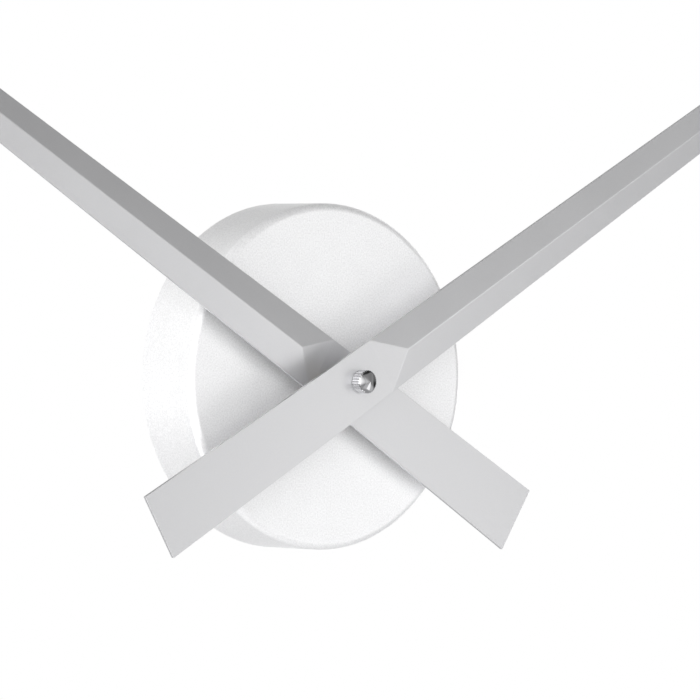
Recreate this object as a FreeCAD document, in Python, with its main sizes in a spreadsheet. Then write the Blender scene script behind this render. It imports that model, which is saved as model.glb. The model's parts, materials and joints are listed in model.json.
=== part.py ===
import FreeCAD, Part
import os
import re
import Sketcher
from FreeCAD import Placement, Rotation, Vector

# A wall clock with two long folded hands on a small round housing.
# Every piece is drawn lying on its back: sketch x is the clock's right-hand side,
# sketch y is up, and z is the distance from the wall. UPRIGHT then stands it up,
# so the finished clock faces -Y with the wall at y = 0 and +Z up. The origin is
# the point of the wall that lies behind the hands' shaft.
# All sizes are in millimetres and all angles in degrees.

SIZES = [
    # housing
    ("housing_radius", 60.0, "outside radius of the drawn aluminium cup"),
    ("housing_depth", 27.5, "wall to front face"),
    ("sheet_wall", 1.2, "thickness of the cup"),
    ("edge_round", 2.8, "outside radius of the front edge"),
    ("shaft_drop", 1.5, "the hands' shaft below the cup's own centre"),
    # stack between the cup's front wall and the movement
    ("washer_thick", 1.0, "rubber washer"),
    ("washer_radius", 13.0, "rubber washer outside radius"),
    ("plate_thick", 1.0, "hanger bracket sheet"),
    ("plate_width", 28.0, "hanger bracket width"),
    ("plate_drop", 14.0, "hanger bracket below the centre"),
    ("bracket_gap", 0.3, "hanger bracket to the top of the case"),
    ("bracket_wall_gap", 1.2, "hanger tab to the wall"),
    ("bend_round", 1.6, "outside radius of the bracket's bends"),
    ("keyhole_radius", 4.25, "keyhole's large hole"),
    ("keyhole_slot", 2.2, "keyhole's slot, half width"),
    ("keyhole_rise", 7.0, "large hole's centre to the slot's end centre"),
    ("keyhole_margin", 4.45, "bracket's leg to the large hole's edge"),
    ("tab_margin", 2.1, "slot's end to the top of the tab"),
    # movement case
    ("front_share", 7.8, "depth of the front shell"),
    ("case_wall", 1.2, "case wall"),
    ("case_round", 3.0, "case corner radius"),
    ("battery_radius", 7.25, "cell radius"),
    ("battery_length", 50.5, "cell length over the button"),
    ("button_radius", 2.75, "cell's positive button"),
    ("button_length", 1.0, "cell's positive button"),
    ("battery_play", 0.15, "cell to the bay's side"),
    ("battery_front", 0.3, "cell to the front shell"),
    ("contact_room", 1.55, "cell's end to the case wall"),
    ("bay_rib", 1.0, "rib between the bay and the gears"),
    ("rib_slot", 0.6, "gap for the contact strips at each end of the rib"),
    ("strip_thick", 0.3, "contact strip"),
    ("strip_half", 2.0, "contact strip, half width"),
    ("strip_lap", 2.0, "positive strip below the circuit board"),
    ("strip_rise", 3.0, "negative strip beyond the rib, up the case wall"),
    ("bow_half", 4.0, "contacts' bow towards the cell, half length"),
    ("bow_touch", 0.1, "top of the bow to the cell's end"),
    # threaded bush and what is screwed to it
    ("bush_radius", 4.7, "outside of the threaded bush"),
    ("bush_flange", 6.5, "flange that is moulded into the front shell"),
    ("flange_thick", 0.8, "bush flange"),
    ("thread_spare", 0.9, "bush beyond the fixing nut"),
    ("hole_clear", 0.2, "sheet holes round the bush"),
    ("thread_clear", 0.02, "screwed and moulded fits"),
    ("front_washer_thick", 0.6, "brass washer"),
    ("front_washer_radius", 7.5, "brass washer"),
    ("fixing_nut_flats", 6.0, "hexagon nut, half of the size across flats"),
    ("fixing_nut_thick", 2.4, "hexagon nut"),
    # shafts
    ("minute_radius", 1.75, "outside of the minute tube"),
    ("hour_radius", 2.75, "outside of the hour tube"),
    ("seconds_radius", 0.5, "inner arbor"),
    ("run_clear", 0.05, "radial running clearance of shafts"),
    ("press_clear", 0.01, "pressed-on pieces"),
    ("arbor_radius", 0.5, "wheel arbors"),
    ("pivot_radius", 0.3, "pivots at the arbors' ends"),
    ("pivot_length", 0.9, "pivots"),
    ("end_play", 0.1, "arbor shoulders to their bearings"),
    ("boss_radius", 1.3, "pivot bosses"),
    ("boss_rise", 0.6, "pivot bosses"),
    # middle plate, and the wheels' levels behind it and in front of it
    ("plate_room", 3.4, "middle plate to the front shell's inside"),
    ("middle_thick", 1.0, "middle plate"),
    ("centre_drop", 1.8, "middle plate to the back of the centre wheel"),
    ("stator_drop", 3.3, "middle plate to the back of the stator"),
    ("board_drop", 4.2, "middle plate to the back of the circuit board"),
    ("third_drop", 4.6, "middle plate to the back of the third wheel"),
    ("intermediate_drop", 6.2, "middle plate to the back of the intermediate wheel"),
    ("seconds_drop", 8.0, "middle plate to the back of the seconds wheel"),
    ("reverse_rise", 0.4, "middle plate's front to the reverse wheel"),
    ("hour_rise", 1.8, "middle plate's front to the hour wheel"),
    ("wheel_thick", 0.8, "toothed rims of the wheels"),
    ("pinion_reach", 0.2, "pinions beyond each face of the wheel they mesh with"),
    ("hub_extra", 0.5, "hubs beyond the arbor or tube that they sit on"),
    ("gear_margin", 1.13, "centre wheel to the battery bay's rib"),
    ("wheel_gap", 0.4, "centre wheel to the intermediate arbor, at least"),
    ("pinion_wall", 0.05, "cannon pinion's root over the minute tube, at least"),
    ("middle_half", 20.5, "middle plate, half width"),
    ("middle_top", 19.0, "middle plate's upper edge"),
    ("middle_low", 9.8, "middle plate's lower edge below the centre"),
    ("pillar_inset", 2.0, "plate pillars, centre to the plate's edge"),
    ("pillar_radius", 1.8, "plate pillars"),
    # gears: tooth size is given by module, in shares of it the tooth form
    ("tooth_rise", 0.9, "addendum in modules"),
    ("tooth_depth", 1.25, "dedendum in modules"),
    ("tooth_tip", 0.30, "half width at the tip in modules"),
    ("tooth_middle", 0.66, "half width at the pitch circle in modules"),
    ("tooth_root", 0.60, "half width at the root in modules"),
    ("tooth_foot", 0.4, "how far the teeth are let into the root disc in modules"),
    ("rotor_module", 0.2, "rotor pinion and intermediate wheel"),
    ("rotor_teeth", 10, "rotor pinion"),
    ("intermediate_teeth", 60, "intermediate wheel"),
    ("drive_module", 0.3, "intermediate pinion and seconds wheel"),
    ("drive_teeth", 12, "intermediate pinion"),
    ("seconds_teeth", 60, "seconds wheel"),
    ("third_module", 0.3, "third pinion and centre wheel"),
    ("third_pinion_teeth", 8, "third pinion"),
    ("centre_teeth", 64, "centre wheel"),
    ("seconds_pinion_teeth", 8, "seconds pinion"),
    ("third_teeth", 60, "third wheel"),
    ("cannon_module", 0.48, "cannon pinion, reverse wheel and setting pinion"),
    ("cannon_teeth", 10, "cannon pinion"),
    ("reverse_teeth", 30, "reverse wheel"),
    ("reverse_pinion_teeth", 10, "reverse pinion"),
    ("hour_teeth", 40, "hour wheel"),
    ("setting_teeth", 12, "setting pinion"),
    ("intermediate_angle", 100.0, "direction of the intermediate arbor from the centre"),
    ("rotor_angle", 20.0, "direction of the rotor from the intermediate arbor"),
    ("third_angle", 5.0, "direction of the third arbor from the centre"),
    ("reverse_angle", 150.0, "direction of the reverse arbor from the centre"),
    ("setting_angle", 130.0, "direction of the setting arbor from the reverse arbor"),
    # motor
    ("magnet_radius", 3.0, "rotor magnet"),
    ("magnet_thick", 2.0, "rotor magnet"),
    ("stator_gap", 0.4, "magnet to stator"),
    ("stator_thick", 0.8, "stator and coil core"),
    ("stator_rim", 1.0, "stator round the rotor's hole"),
    ("stator_left", 17.2, "rotor to the stator's left edge"),
    ("stator_right", 12.8, "rotor to the stator's right edge"),
    ("leg_width", 3.5, "stator's legs and the core's ends"),
    ("coil_gap", 0.88, "bobbin to the stator's bar and to the case"),
    ("coil_radius", 3.8, "bobbin flange"),
    ("winding_radius", 3.3, "copper winding"),
    ("barrel_radius", 1.9, "bobbin barrel"),
    ("bobbin_flange", 0.8, "bobbin flange thickness"),
    ("core_half", 1.3, "coil core, half width"),
    ("core_clear", 0.05, "core in the bobbin"),
    # circuit board
    ("board_thick", 0.8, "board"),
    ("board_width", 7.8, "board"),
    ("board_length", 32.5, "board"),
    ("board_gap", 0.4, "board to the case and to the contact strips' seats"),
    ("low_post", 0.2, "lower board post, as a share of the board's length"),
    ("high_post", 0.9, "upper board post, as a share of the board's length"),
    ("chip_place", 0.45, "chip, as a share of the board's length"),
    ("crystal_place", 0.75, "crystal, as a share of the board's length"),
    ("chip_radius", 2.2, "resin drop over the chip"),
    ("chip_rise", 1.1, "resin drop"),
    ("chip_edge", 0.4, "height of the resin drop's upright edge"),
    ("chip_crown", 1.3, "radius of the resin drop's flat top"),
    ("crystal_radius", 1.0, "quartz crystal can"),
    ("crystal_length", 6.0, "quartz crystal can"),
    # setting knob
    ("knob_radius", 5.2, "knob"),
    ("knob_thick", 2.6, "knob"),
    ("knob_gap", 0.4, "knob to the case"),
    ("setting_radius", 1.0, "setting arbor"),
    ("knurl_count", 28, "grooves round the knob and the cap nut"),
    # hands
    ("hour_lift", 0.4, "threaded bush to the hour collet"),
    ("tube_end", 0.6, "hour tube beyond the hour hand"),
    ("hand_gap", 4.6, "hour hand's ridge to the minute hand's tail"),
    ("hand_thick", 1.1, "aluminium sheet of the hands"),
    ("hand_half", 10.45, "half width at the pivot"),
    ("hand_taper", 0.0165, "half width lost per millimetre towards the tip"),
    ("minute_length", 450.0, "pivot to tip"),
    ("hour_length", 340.0, "pivot to tip"),
    ("hour_tail", 94.5, "pivot to tail end"),
    ("minute_tail", 97.5, "pivot to tail end"),
    ("hip_start", 10.5, "pivot to where the fold's end leaves the edges"),
    ("ridge_start", 22.5, "pivot to the start of the ridge"),
    ("ridge_rise", 2.1, "ridge above the flat part at its start"),
    ("tail_start", 12.0, "pivot to where the tail starts to lean back"),
    ("tail_lean", 2.4, "how far the tail's end lies behind the flat part"),
    ("hour_rest", -59.3, "hour hand's angle from twelve, clockwise"),
    ("minute_rest", 59.2, "minute hand's angle from twelve, clockwise"),
    ("minute_collet", 2.6, "collet sleeve in the minute hand"),
    ("hour_collet", 4.2, "collet sleeve in the hour hand"),
    ("collet_rim", 2.0, "collet flange beyond its sleeve"),
    ("collet_thick", 1.0, "collet flange"),
    ("hour_sleeve", 1.5, "hour collet's sleeve behind its flange"),
    ("minute_sleeve", 3.0, "minute collet's sleeve behind its flange"),
    # cap nut
    ("cap_radius", 4.0, "cap nut"),
    ("cap_height", 4.2, "cap nut's knurled side"),
    ("cap_cone", 1.3, "cap nut's conical front"),
    ("cap_bore", 3.8, "depth of the cap nut's thread"),
    ("tube_reach", 3.5, "minute tube beyond the minute hand"),
    ("arbor_reach", 3.0, "seconds arbor beyond the minute hand"),
    ("knurl_cut", 0.28, "depth of the knurl"),
    ("knurl_share", 0.7, "groove's width as a share of the knurl's pitch"),
]

UPRIGHT = Placement(Vector(0, 0, 0), Rotation(Vector(1, 0, 0), 90))
PARTS = []

document = FreeCAD.newDocument("wall_clock")
sheet = document.addObject("Spreadsheet::Sheet", "Size")
for row, (alias, value, meaning) in enumerate(SIZES, start=1):
    sheet.set(f"A{row}", meaning)
    sheet.set(f"B{row}", str(value))
    sheet.setAlias(f"B{row}", alias)
document.recompute()


# ---------------------------------------------------------------- expressions

def expression(words):
    """Every size name holds an underscore: point each one at the sheet."""
    return re.sub(r"[a-z]+(?:_[a-z]+)+", lambda name: "Size." + name.group(), words)


def number(words):
    return float(sheet.evalExpression(expression(words)))


def centres(module, first, second):
    """Distance between the axes of two meshed gears."""
    return f"({module} * ({first} + {second}) / 2)"


# two modules grow where their named size would let a pinion or an arbor run foul
CENTRE_TIP = "(third_module * (centre_teeth / 2 + tooth_rise))"
ARBOR_ROOM = f"({CENTRE_TIP} + arbor_radius + wheel_gap)"
DRIVE_MODULE = f"max(drive_module; 2 * {ARBOR_ROOM} / (drive_teeth + seconds_teeth))"
CANNON_ROOM = "((minute_radius + pinion_wall) / (cannon_teeth / 2 - tooth_depth))"
CANNON_MODULE = f"max(cannon_module; {CANNON_ROOM})"
DRIVE_GAP = centres(DRIVE_MODULE, "drive_teeth", "seconds_teeth")
ROTOR_GAP = centres("rotor_module", "rotor_teeth", "intermediate_teeth")
THIRD_GAP = centres("third_module", "third_pinion_teeth", "centre_teeth")
REVERSE_GAP = centres(CANNON_MODULE, "cannon_teeth", "reverse_teeth")
SETTING_GAP = centres(CANNON_MODULE, "setting_teeth", "reverse_teeth")
# both stages of the centre train, and both of the motion work, share one distance
SECONDS_MODULE = f"(2 * {THIRD_GAP} / (seconds_pinion_teeth + third_teeth))"
HOUR_MODULE = f"(2 * {REVERSE_GAP} / (reverse_pinion_teeth + hour_teeth))"


def from_point(start, gap, angle):
    """Expressions for the point that lies gap away from start, at angle."""
    return f"({start[0]} + {gap} * cos({angle}))", f"({start[1]} + {gap} * sin({angle}))"


CENTRE = ("0", "0")
INTERMEDIATE = from_point(CENTRE, DRIVE_GAP, "intermediate_angle")
ROTOR = from_point(INTERMEDIATE, ROTOR_GAP, "rotor_angle")
THIRD = from_point(CENTRE, THIRD_GAP, "third_angle")
REVERSE = from_point(CENTRE, REVERSE_GAP, "reverse_angle")
SETTING = from_point(REVERSE, SETTING_GAP, "setting_angle")

# the case is as large as the cell and its contacts, the bay and the wheels, or the
# motor above them ask for, whichever is most
BAY_WIDTH = "(2 * (battery_radius + battery_play))"
ROTOR_ROOM = "(magnet_radius + stator_gap + stator_rim)"
STATOR_LOW = f"({ROTOR[1]} - {ROTOR_ROOM})"
STATOR_BAR = f"({ROTOR[1]} + {ROTOR_ROOM})"
STATOR_LEFT = f"({ROTOR[0]} - stator_left)"
STATOR_RIGHT = f"({ROTOR[0]} + stator_right)"
COIL_HEIGHT = f"({STATOR_BAR} + coil_gap + coil_radius)"
INNER_HALF = (
    f"max(battery_length / 2 + contact_room; {BAY_WIDTH} + bay_rib + {CENTRE_TIP} + gear_margin; "
    f"{COIL_HEIGHT} + coil_radius + coil_gap)"
)
CASE_HALF = f"({INNER_HALF} + case_wall)"
BAY_TOP = f"(-{INNER_HALF} + {BAY_WIDTH})"
RIB_TOP = f"({BAY_TOP} + bay_rib)"
BAY_MIDDLE = f"(-{INNER_HALF} + {BAY_WIDTH} / 2)"
BOARD_LEFT = f"(-{INNER_HALF} + board_gap)"
BOARD_RIGHT = f"({BOARD_LEFT} + board_width)"
BOARD_MIDDLE = f"({BOARD_LEFT} + board_width / 2)"
BOARD_LOW = f"({RIB_TOP} + strip_thick + board_gap / 2)"

# levels from the wall, back to front
FACE_BACK = "(housing_depth - sheet_wall)"
WASHER_BACK = f"({FACE_BACK} - washer_thick)"
CASE_FRONT = f"({WASHER_BACK} - plate_thick)"
CASE_DEPTH = "(2 * battery_radius + battery_front + case_wall)"
CASE_BACK = f"({CASE_FRONT} - {CASE_DEPTH})"
CASE_SPLIT = f"({CASE_FRONT} - front_share)"
FRONT_INSIDE = f"({CASE_FRONT} - case_wall)"
BACK_INSIDE = f"({CASE_BACK} + case_wall)"
PLATE_FRONT = f"({FRONT_INSIDE} - plate_room)"
PLATE_BACK = f"({PLATE_FRONT} - middle_thick)"
BACK_BEARING = f"({BACK_INSIDE} + boss_rise)"
REVERSE_BEARING = f"({FRONT_INSIDE} - boss_rise / 2)"
CENTRE_LEVEL = f"({PLATE_BACK} - centre_drop)"
STATOR_LEVEL = f"({PLATE_BACK} - stator_drop)"
STATOR_FRONT = f"({STATOR_LEVEL} + stator_thick)"
CORE_LEVEL = f"({STATOR_LEVEL} - stator_thick)"
BOARD_LEVEL = f"({PLATE_BACK} - board_drop)"
BOARD_FRONT = f"({BOARD_LEVEL} + board_thick)"
THIRD_LEVEL = f"({PLATE_BACK} - third_drop)"
INTERMEDIATE_LEVEL = f"({PLATE_BACK} - intermediate_drop)"
SECONDS_LEVEL = f"({PLATE_BACK} - seconds_drop)"
REVERSE_LEVEL = f"({PLATE_FRONT} + reverse_rise)"
HOUR_LEVEL = f"({PLATE_FRONT} + hour_rise)"
NUT_SEAT = "(housing_depth + front_washer_thick)"
BUSH_FRONT = f"({NUT_SEAT} + fixing_nut_thick + thread_spare)"
HOUR_FRONT = f"({BUSH_FRONT} + hour_lift + hour_sleeve + collet_thick + hand_thick)"
MINUTE_BACK = f"({CENTRE_LEVEL} - 2 * pinion_reach)"
CLUTCH_FRONT = f"({CENTRE_LEVEL} + wheel_thick + 2 * strip_thick)"
KNOB_BACK = f"({CASE_BACK} - knob_gap - knob_thick)"
MINUTE_FRONT = f"({HOUR_FRONT} + ridge_rise + hand_gap + tail_lean + hand_thick)"


# ------------------------------------------------------------------- sketches

def place(x, y):
    return Vector(number(x), number(y), 0)


def hold(sketch, item, point, x, y):
    """Tie a sketch point to expressions x and y, measured from the origin."""
    for kind, axis, words in (("DistanceX", -2, x), ("DistanceY", -1, y)):
        if words == "0":
            sketch.addConstraint(Sketcher.Constraint("PointOnObject", item, point, axis))
        else:
            rule = Sketcher.Constraint(kind, -1, 1, item, point, number(words))
            index = sketch.addConstraint(rule)
            sketch.setExpression(f"Constraints[{index}]", expression(words))


def draw_corners(sketch, corners):
    """A closed outline of straight lines through corners given as expressions."""
    first = sketch.GeometryCount
    spots = [place(x, y) for x, y in corners]
    count = len(corners)
    for at in range(count):
        sketch.addGeometry(Part.LineSegment(spots[at], spots[(at + 1) % count]))
    for at in range(count):
        after = first + (at + 1) % count
        sketch.addConstraint(Sketcher.Constraint("Coincident", first + at, 2, after, 1))
    for at, (x, y) in enumerate(corners):
        hold(sketch, first + at, 1, x, y)


def draw_circle(sketch, radius, x="0", y="0"):
    circle = Part.Circle(place(x, y), Vector(0, 0, 1), number(radius))
    index = sketch.addGeometry(circle)
    hold(sketch, index, 3, x, y)
    rule = sketch.addConstraint(Sketcher.Constraint("Radius", index, number(radius)))
    sketch.setExpression(f"Constraints[{rule}]", expression(radius))


def box_corners(left, low, right, top):
    return [(left, low), (right, low), (right, top), (left, top)]


# ------------------------------------------------------------------- features

def new_body(label, at=CENTRE):
    """A body that stands upright with its own axis at the sketch point at."""
    body = document.addObject("PartDesign::Body", label)
    body.Label = label
    body.Placement = UPRIGHT
    body.setExpression("Placement.Base.x", expression(at[0]))
    body.setExpression("Placement.Base.z", expression(at[1]))
    PARTS.append(body)
    return body


def new_sketch(body, role="XY_Plane", level="0", turn=0.0):
    sketch = body.newObject("Sketcher::SketchObject", body.Label + "_sketch")
    base = [item for item in body.Origin.OriginFeatures if item.Role == role]
    sketch.AttachmentSupport = [(base[0], "")]
    sketch.MapMode = "FlatFace"
    sketch.AttachmentOffset = Placement(Vector(0, 0, 0), Rotation(Vector(0, 0, 1), turn))
    sketch.setExpression("AttachmentOffset.Base.z", expression(level))
    return sketch


def pad(body, sketch, length, midplane=False):
    feature = body.newObject("PartDesign::Pad", body.Label + "_pad")
    feature.Profile = sketch
    feature.setExpression("Length", expression(length))
    feature.Midplane = midplane
    sketch.Visibility = False
    return feature


def pocket(body, sketch, length):
    """Cut from the sketch towards +z of the sketch, and check that it cuts."""
    document.recompute()
    before = body.Shape.Volume
    feature = body.newObject("PartDesign::Pocket", body.Label + "_pocket")
    feature.Profile = sketch
    feature.setExpression("Length", expression(length))
    feature.Reversed = True
    document.recompute()
    if not body.Shape.Volume < before:
        raise ValueError(feature.Name + " cuts nothing")
    return feature


def turn_profile(body, corners):
    """Revolve an outline of (radius, level) corners round the body's own axis."""
    sketch = new_sketch(body, "XZ_Plane")
    draw_corners(sketch, corners)
    feature = body.newObject("PartDesign::Revolution", body.Label + "_turned")
    feature.Profile = sketch
    feature.ReferenceAxis = (sketch, ["V_Axis"])
    feature.Angle = 360
    return feature


def round_edges(body, radius, wanted):
    """Fillet the edges of the body's present shape that wanted(edge) picks."""
    document.recompute()
    tip = body.Tip
    names = [f"Edge{n}" for n, edge in enumerate(tip.Shape.Edges, start=1) if wanted(edge)]
    feature = body.newObject("PartDesign::Fillet", body.Label + "_fillet")
    feature.Base = (tip, names)
    feature.setExpression("Radius", expression(radius))
    return feature


def is_circle_at(edge, radius, level):
    curve = edge.Curve
    if not isinstance(curve, Part.Circle):
        return False
    return abs(curve.Radius - number(radius)) < 1e-4 and abs(curve.Center.z - number(level)) < 1e-4


def stands_on_corner(edge, half):
    """An upright edge at one of the four corners of a square."""
    low, high = edge.BoundBox, edge.CenterOfMass
    upright = low.ZLength > 1 and low.XLength < 1e-4 and low.YLength < 1e-4
    return upright and min(abs(high.x), abs(high.y)) > number(half) - 1e-3


def ring(body, radius, low, high, bore=None):
    """Pad a disc or a ring round the body's own axis between two levels."""
    sketch = new_sketch(body, level=low)
    draw_circle(sketch, radius)
    if bore:
        draw_circle(sketch, bore)
    return pad(body, sketch, f"{high} - {low}")


def repeat_round(body, feature, count):
    """Repeat a feature round the body's axis, count being an expression."""
    pattern = body.newObject("PartDesign::PolarPattern", body.Label + "_pattern")
    pattern.Originals = [feature]
    pattern.Axis = ([item for item in body.Origin.OriginFeatures if item.Role == "Z_Axis"][0], [""])
    pattern.Angle = 360
    pattern.setExpression("Occurrences", expression(count))
    body.Tip = pattern
    return pattern


def teeth(body, module, count, low, high, phase=0.0):
    """A toothed rim: a root disc, one tooth at angle phase, and its copies."""
    pitch = f"{module} * {count} / 2"
    root = f"({pitch} - tooth_depth * {module})"
    ring(body, root, low, high)
    sketch = new_sketch(body, level=low, turn=phase)
    flank = [
        (f"({root} - tooth_foot * {module})", f"tooth_root * {module}"),
        (f"({pitch})", f"tooth_middle * {module}"),
        (f"({pitch} + tooth_rise * {module})", f"tooth_tip * {module}"),
    ]
    mirrored = [(x, f"-{y}") for x, y in reversed(flank)]
    draw_corners(sketch, flank + mirrored)
    tooth = pad(body, sketch, f"{high} - {low}")
    repeat_round(body, tooth, count)


def mesh_phase(first_phase, first_count, second_count, direction):
    """Phase of a second gear, seen from the first along direction, in mesh with it."""
    share = (direction - first_phase) * number(first_count) / 360
    return direction + 180 - (0.5 - share) * 360 / number(second_count)


def bore_through(body, radius, low, high):
    sketch = new_sketch(body, level=low)
    draw_circle(sketch, radius)
    pocket(body, sketch, f"{high} - {low}")


# --------------------------------------------------------------------- pieces

def make_housing():
    """Deep-drawn cup, open towards the wall, with a rounded front edge."""
    body = new_body("housing_cup", ("0", "shaft_drop"))
    inside = "(housing_radius - sheet_wall)"
    turn_profile(body, [
        ("0", "housing_depth"),
        ("housing_radius", "housing_depth"),
        ("housing_radius", "0"),
        (inside, "0"),
        (inside, FACE_BACK),
        ("0", FACE_BACK),
    ])
    round_edges(body, "edge_round", lambda edge: is_circle_at(edge, "housing_radius", "housing_depth"))
    round_edges(body, "edge_round - sheet_wall", lambda edge: is_circle_at(edge, inside, FACE_BACK))
    drill(body, "(bush_radius + hole_clear)", FACE_BACK, "housing_depth", ("0", "-shaft_drop"))


def make_washers():
    washer = new_body("rubber_washer")
    ring(washer, "washer_radius", WASHER_BACK, FACE_BACK, "(bush_radius + hole_clear)")
    brass = new_body("front_washer")
    ring(brass, "front_washer_radius", "housing_depth", NUT_SEAT, "(bush_radius + hole_clear)")


def make_fixing_nut():
    body = new_body("fixing_nut")
    sketch = new_sketch(body, level=NUT_SEAT)
    corner = "(fixing_nut_flats / cos(30))"
    draw_corners(sketch, [
        (f"{corner} * cos({30 + 60 * side})", f"{corner} * sin({30 + 60 * side})") for side in range(6)
    ])
    draw_circle(sketch, "(bush_radius + thread_clear)")
    pad(body, sketch, "fixing_nut_thick")


def make_bush():
    """Threaded brass bush, moulded into the front shell by its flange."""
    body = new_body("threaded_bush")
    bore = "(hour_radius + run_clear)"
    turn_profile(body, [
        (bore, FRONT_INSIDE),
        ("bush_radius", FRONT_INSIDE),
        ("bush_radius", f"({CASE_FRONT} - flange_thick)"),
        ("bush_flange", f"({CASE_FRONT} - flange_thick)"),
        ("bush_flange", CASE_FRONT),
        ("bush_radius", CASE_FRONT),
        ("bush_radius", BUSH_FRONT),
        (bore, BUSH_FRONT),
    ])


def make_bracket():
    """Steel strip, clamped behind the face and bent over the case to a keyhole tab."""
    body = new_body("hanger_bracket")
    leg_back = f"({CASE_HALF} + bracket_gap)"
    leg_front = f"({leg_back} + plate_thick)"
    tab_front = "(bracket_wall_gap + plate_thick)"
    hole_centre = f"({leg_front} + keyhole_margin + keyhole_radius)"
    slot_end = f"({hole_centre} + keyhole_rise)"
    tab_top = f"({slot_end} + keyhole_slot + tab_margin)"
    side = new_sketch(body, "YZ_Plane")
    draw_corners(side, [
        ("-plate_drop", CASE_FRONT),
        (leg_back, CASE_FRONT),
        (leg_back, "bracket_wall_gap"),
        (tab_top, "bracket_wall_gap"),
        (tab_top, tab_front),
        (leg_front, tab_front),
        (leg_front, WASHER_BACK),
        ("-plate_drop", WASHER_BACK),
    ])
    pad(body, side, "plate_width", midplane=True)
    document.recompute()

    def outer_bend(edge):
        box = edge.BoundBox
        across = box.XLength > 1 and box.YLength < 1e-4 and box.ZLength < 1e-4
        bends = ((leg_front, WASHER_BACK), (leg_back, "bracket_wall_gap"))
        return across and any(
            abs(box.YMax - number(y)) < 1e-4 and abs(box.ZMax - number(z)) < 1e-4 for y, z in bends
        )

    round_edges(body, "bend_round", outer_bend)
    hole = new_sketch(body, level=CASE_FRONT)
    draw_circle(hole, "(bush_radius + hole_clear)")
    pocket(body, hole, "plate_thick")
    keyhole = new_sketch(body, level="bracket_wall_gap")
    draw_circle(keyhole, "keyhole_radius", "0", hole_centre)
    pocket(body, keyhole, "plate_thick")
    slot = new_sketch(body, level="bracket_wall_gap")
    draw_corners(slot, box_corners("-keyhole_slot", hole_centre, "keyhole_slot", slot_end))
    pocket(body, slot, "plate_thick")
    end = new_sketch(body, level="bracket_wall_gap")
    draw_circle(end, "keyhole_slot", "0", slot_end)
    pocket(body, end, "plate_thick")


def square_shell(label, low, high, floor_low, floor_high):
    """Half of the case: a square block hollowed from low to high, all but its floor."""
    body = new_body(label)
    block = new_sketch(body, level=low)
    draw_corners(block, box_corners(f"-{CASE_HALF}", f"-{CASE_HALF}", CASE_HALF, CASE_HALF))
    pad(body, block, f"{high} - {low}")
    round_edges(body, "case_round", lambda edge: stands_on_corner(edge, CASE_HALF))
    hollow = new_sketch(body, level=floor_low)
    draw_corners(hollow, box_corners(f"-{INNER_HALF}", f"-{INNER_HALF}", INNER_HALF, INNER_HALF))
    pocket(body, hollow, f"{floor_high} - {floor_low}")
    rib = new_sketch(body, level=floor_low)
    rib_end = f"({INNER_HALF} - rib_slot)"
    draw_corners(rib, box_corners(f"-{rib_end}", BAY_TOP, rib_end, RIB_TOP))
    pad(body, rib, f"{floor_high} - {floor_low}")
    return body


def post(body, radius, low, high, at):
    sketch = new_sketch(body, level=low)
    draw_circle(sketch, radius, at[0], at[1])
    return pad(body, sketch, f"{high} - {low}")


def drill(body, radius, low, high, at=CENTRE):
    sketch = new_sketch(body, level=low)
    draw_circle(sketch, radius, at[0], at[1])
    pocket(body, sketch, f"{high} - {low}")


def bearing_hole(body, low, high, at):
    """Hole in which an arbor's pivot turns."""
    drill(body, "(pivot_radius + run_clear)", low, high, at)


def plate_corners():
    """Centres of the four pillars that carry the middle plate."""
    across = "(middle_half - pillar_inset)"
    low, top = "(pillar_inset - middle_low)", "(middle_top - pillar_inset)"
    return [(f"-{across}", low), (across, low), (f"-{across}", top), (across, top)]


def make_case_front():
    """Front shell: carries the bush, the middle plate and the reverse arbor."""
    body = square_shell("case_front", CASE_SPLIT, CASE_FRONT, CASE_SPLIT, FRONT_INSIDE)
    for corner in plate_corners():
        post(body, "pillar_radius", PLATE_FRONT, FRONT_INSIDE, corner)
    post(body, "boss_radius", REVERSE_BEARING, FRONT_INSIDE, REVERSE)
    bearing_hole(body, REVERSE_BEARING, f"({REVERSE_BEARING} + pivot_length)", REVERSE)
    drill(body, "(bush_radius + thread_clear)", FRONT_INSIDE, CASE_FRONT)
    drill(body, "(bush_flange + thread_clear)", f"({CASE_FRONT} - flange_thick)", CASE_FRONT)


def on_board(share):
    """Point on the board's middle line, at a share of its length from the lower edge."""
    return BOARD_MIDDLE, f"({BOARD_LOW} + {share} * board_length)"


def make_case_back():
    """Rear shell: open battery bay, pivot bosses, posts for the motor and the board."""
    body = square_shell("case_back", CASE_BACK, CASE_SPLIT, BACK_INSIDE, CASE_SPLIT)
    bay = new_sketch(body, level=CASE_BACK)
    draw_corners(bay, box_corners(f"-{INNER_HALF}", f"-{INNER_HALF}", INNER_HALF, BAY_TOP))
    pocket(body, bay, "case_wall")
    for at in (CENTRE, INTERMEDIATE, ROTOR, THIRD):
        post(body, "boss_radius", BACK_INSIDE, BACK_BEARING, at)
        bearing_hole(body, f"({BACK_BEARING} - pivot_length)", BACK_BEARING, at)
    for x in (f"({STATOR_LEFT} + leg_width / 2)", f"({STATOR_RIGHT} - leg_width / 2)"):
        post(body, "core_half", BACK_INSIDE, CORE_LEVEL, (x, COIL_HEIGHT))
    for share in ("low_post", "high_post"):
        post(body, "boss_radius", BACK_INSIDE, BOARD_LEVEL, on_board(share))
    drill(body, "(setting_radius + run_clear)", CASE_BACK, BACK_INSIDE, SETTING)


def make_middle_plate():
    """Plastic plate between the train and the motion work."""
    body = new_body("middle_plate")
    sketch = new_sketch(body, level=PLATE_BACK)
    draw_corners(sketch, box_corners("-middle_half", "-middle_low", "middle_half", "middle_top"))
    pad(body, sketch, "middle_thick")
    drill(body, "(minute_radius + 2 * run_clear)", PLATE_BACK, PLATE_FRONT)
    drill(body, "(setting_radius + run_clear)", PLATE_BACK, PLATE_FRONT, SETTING)
    for at in (INTERMEDIATE, ROTOR, THIRD, REVERSE):
        bearing_hole(body, PLATE_BACK, PLATE_FRONT, at)


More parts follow.
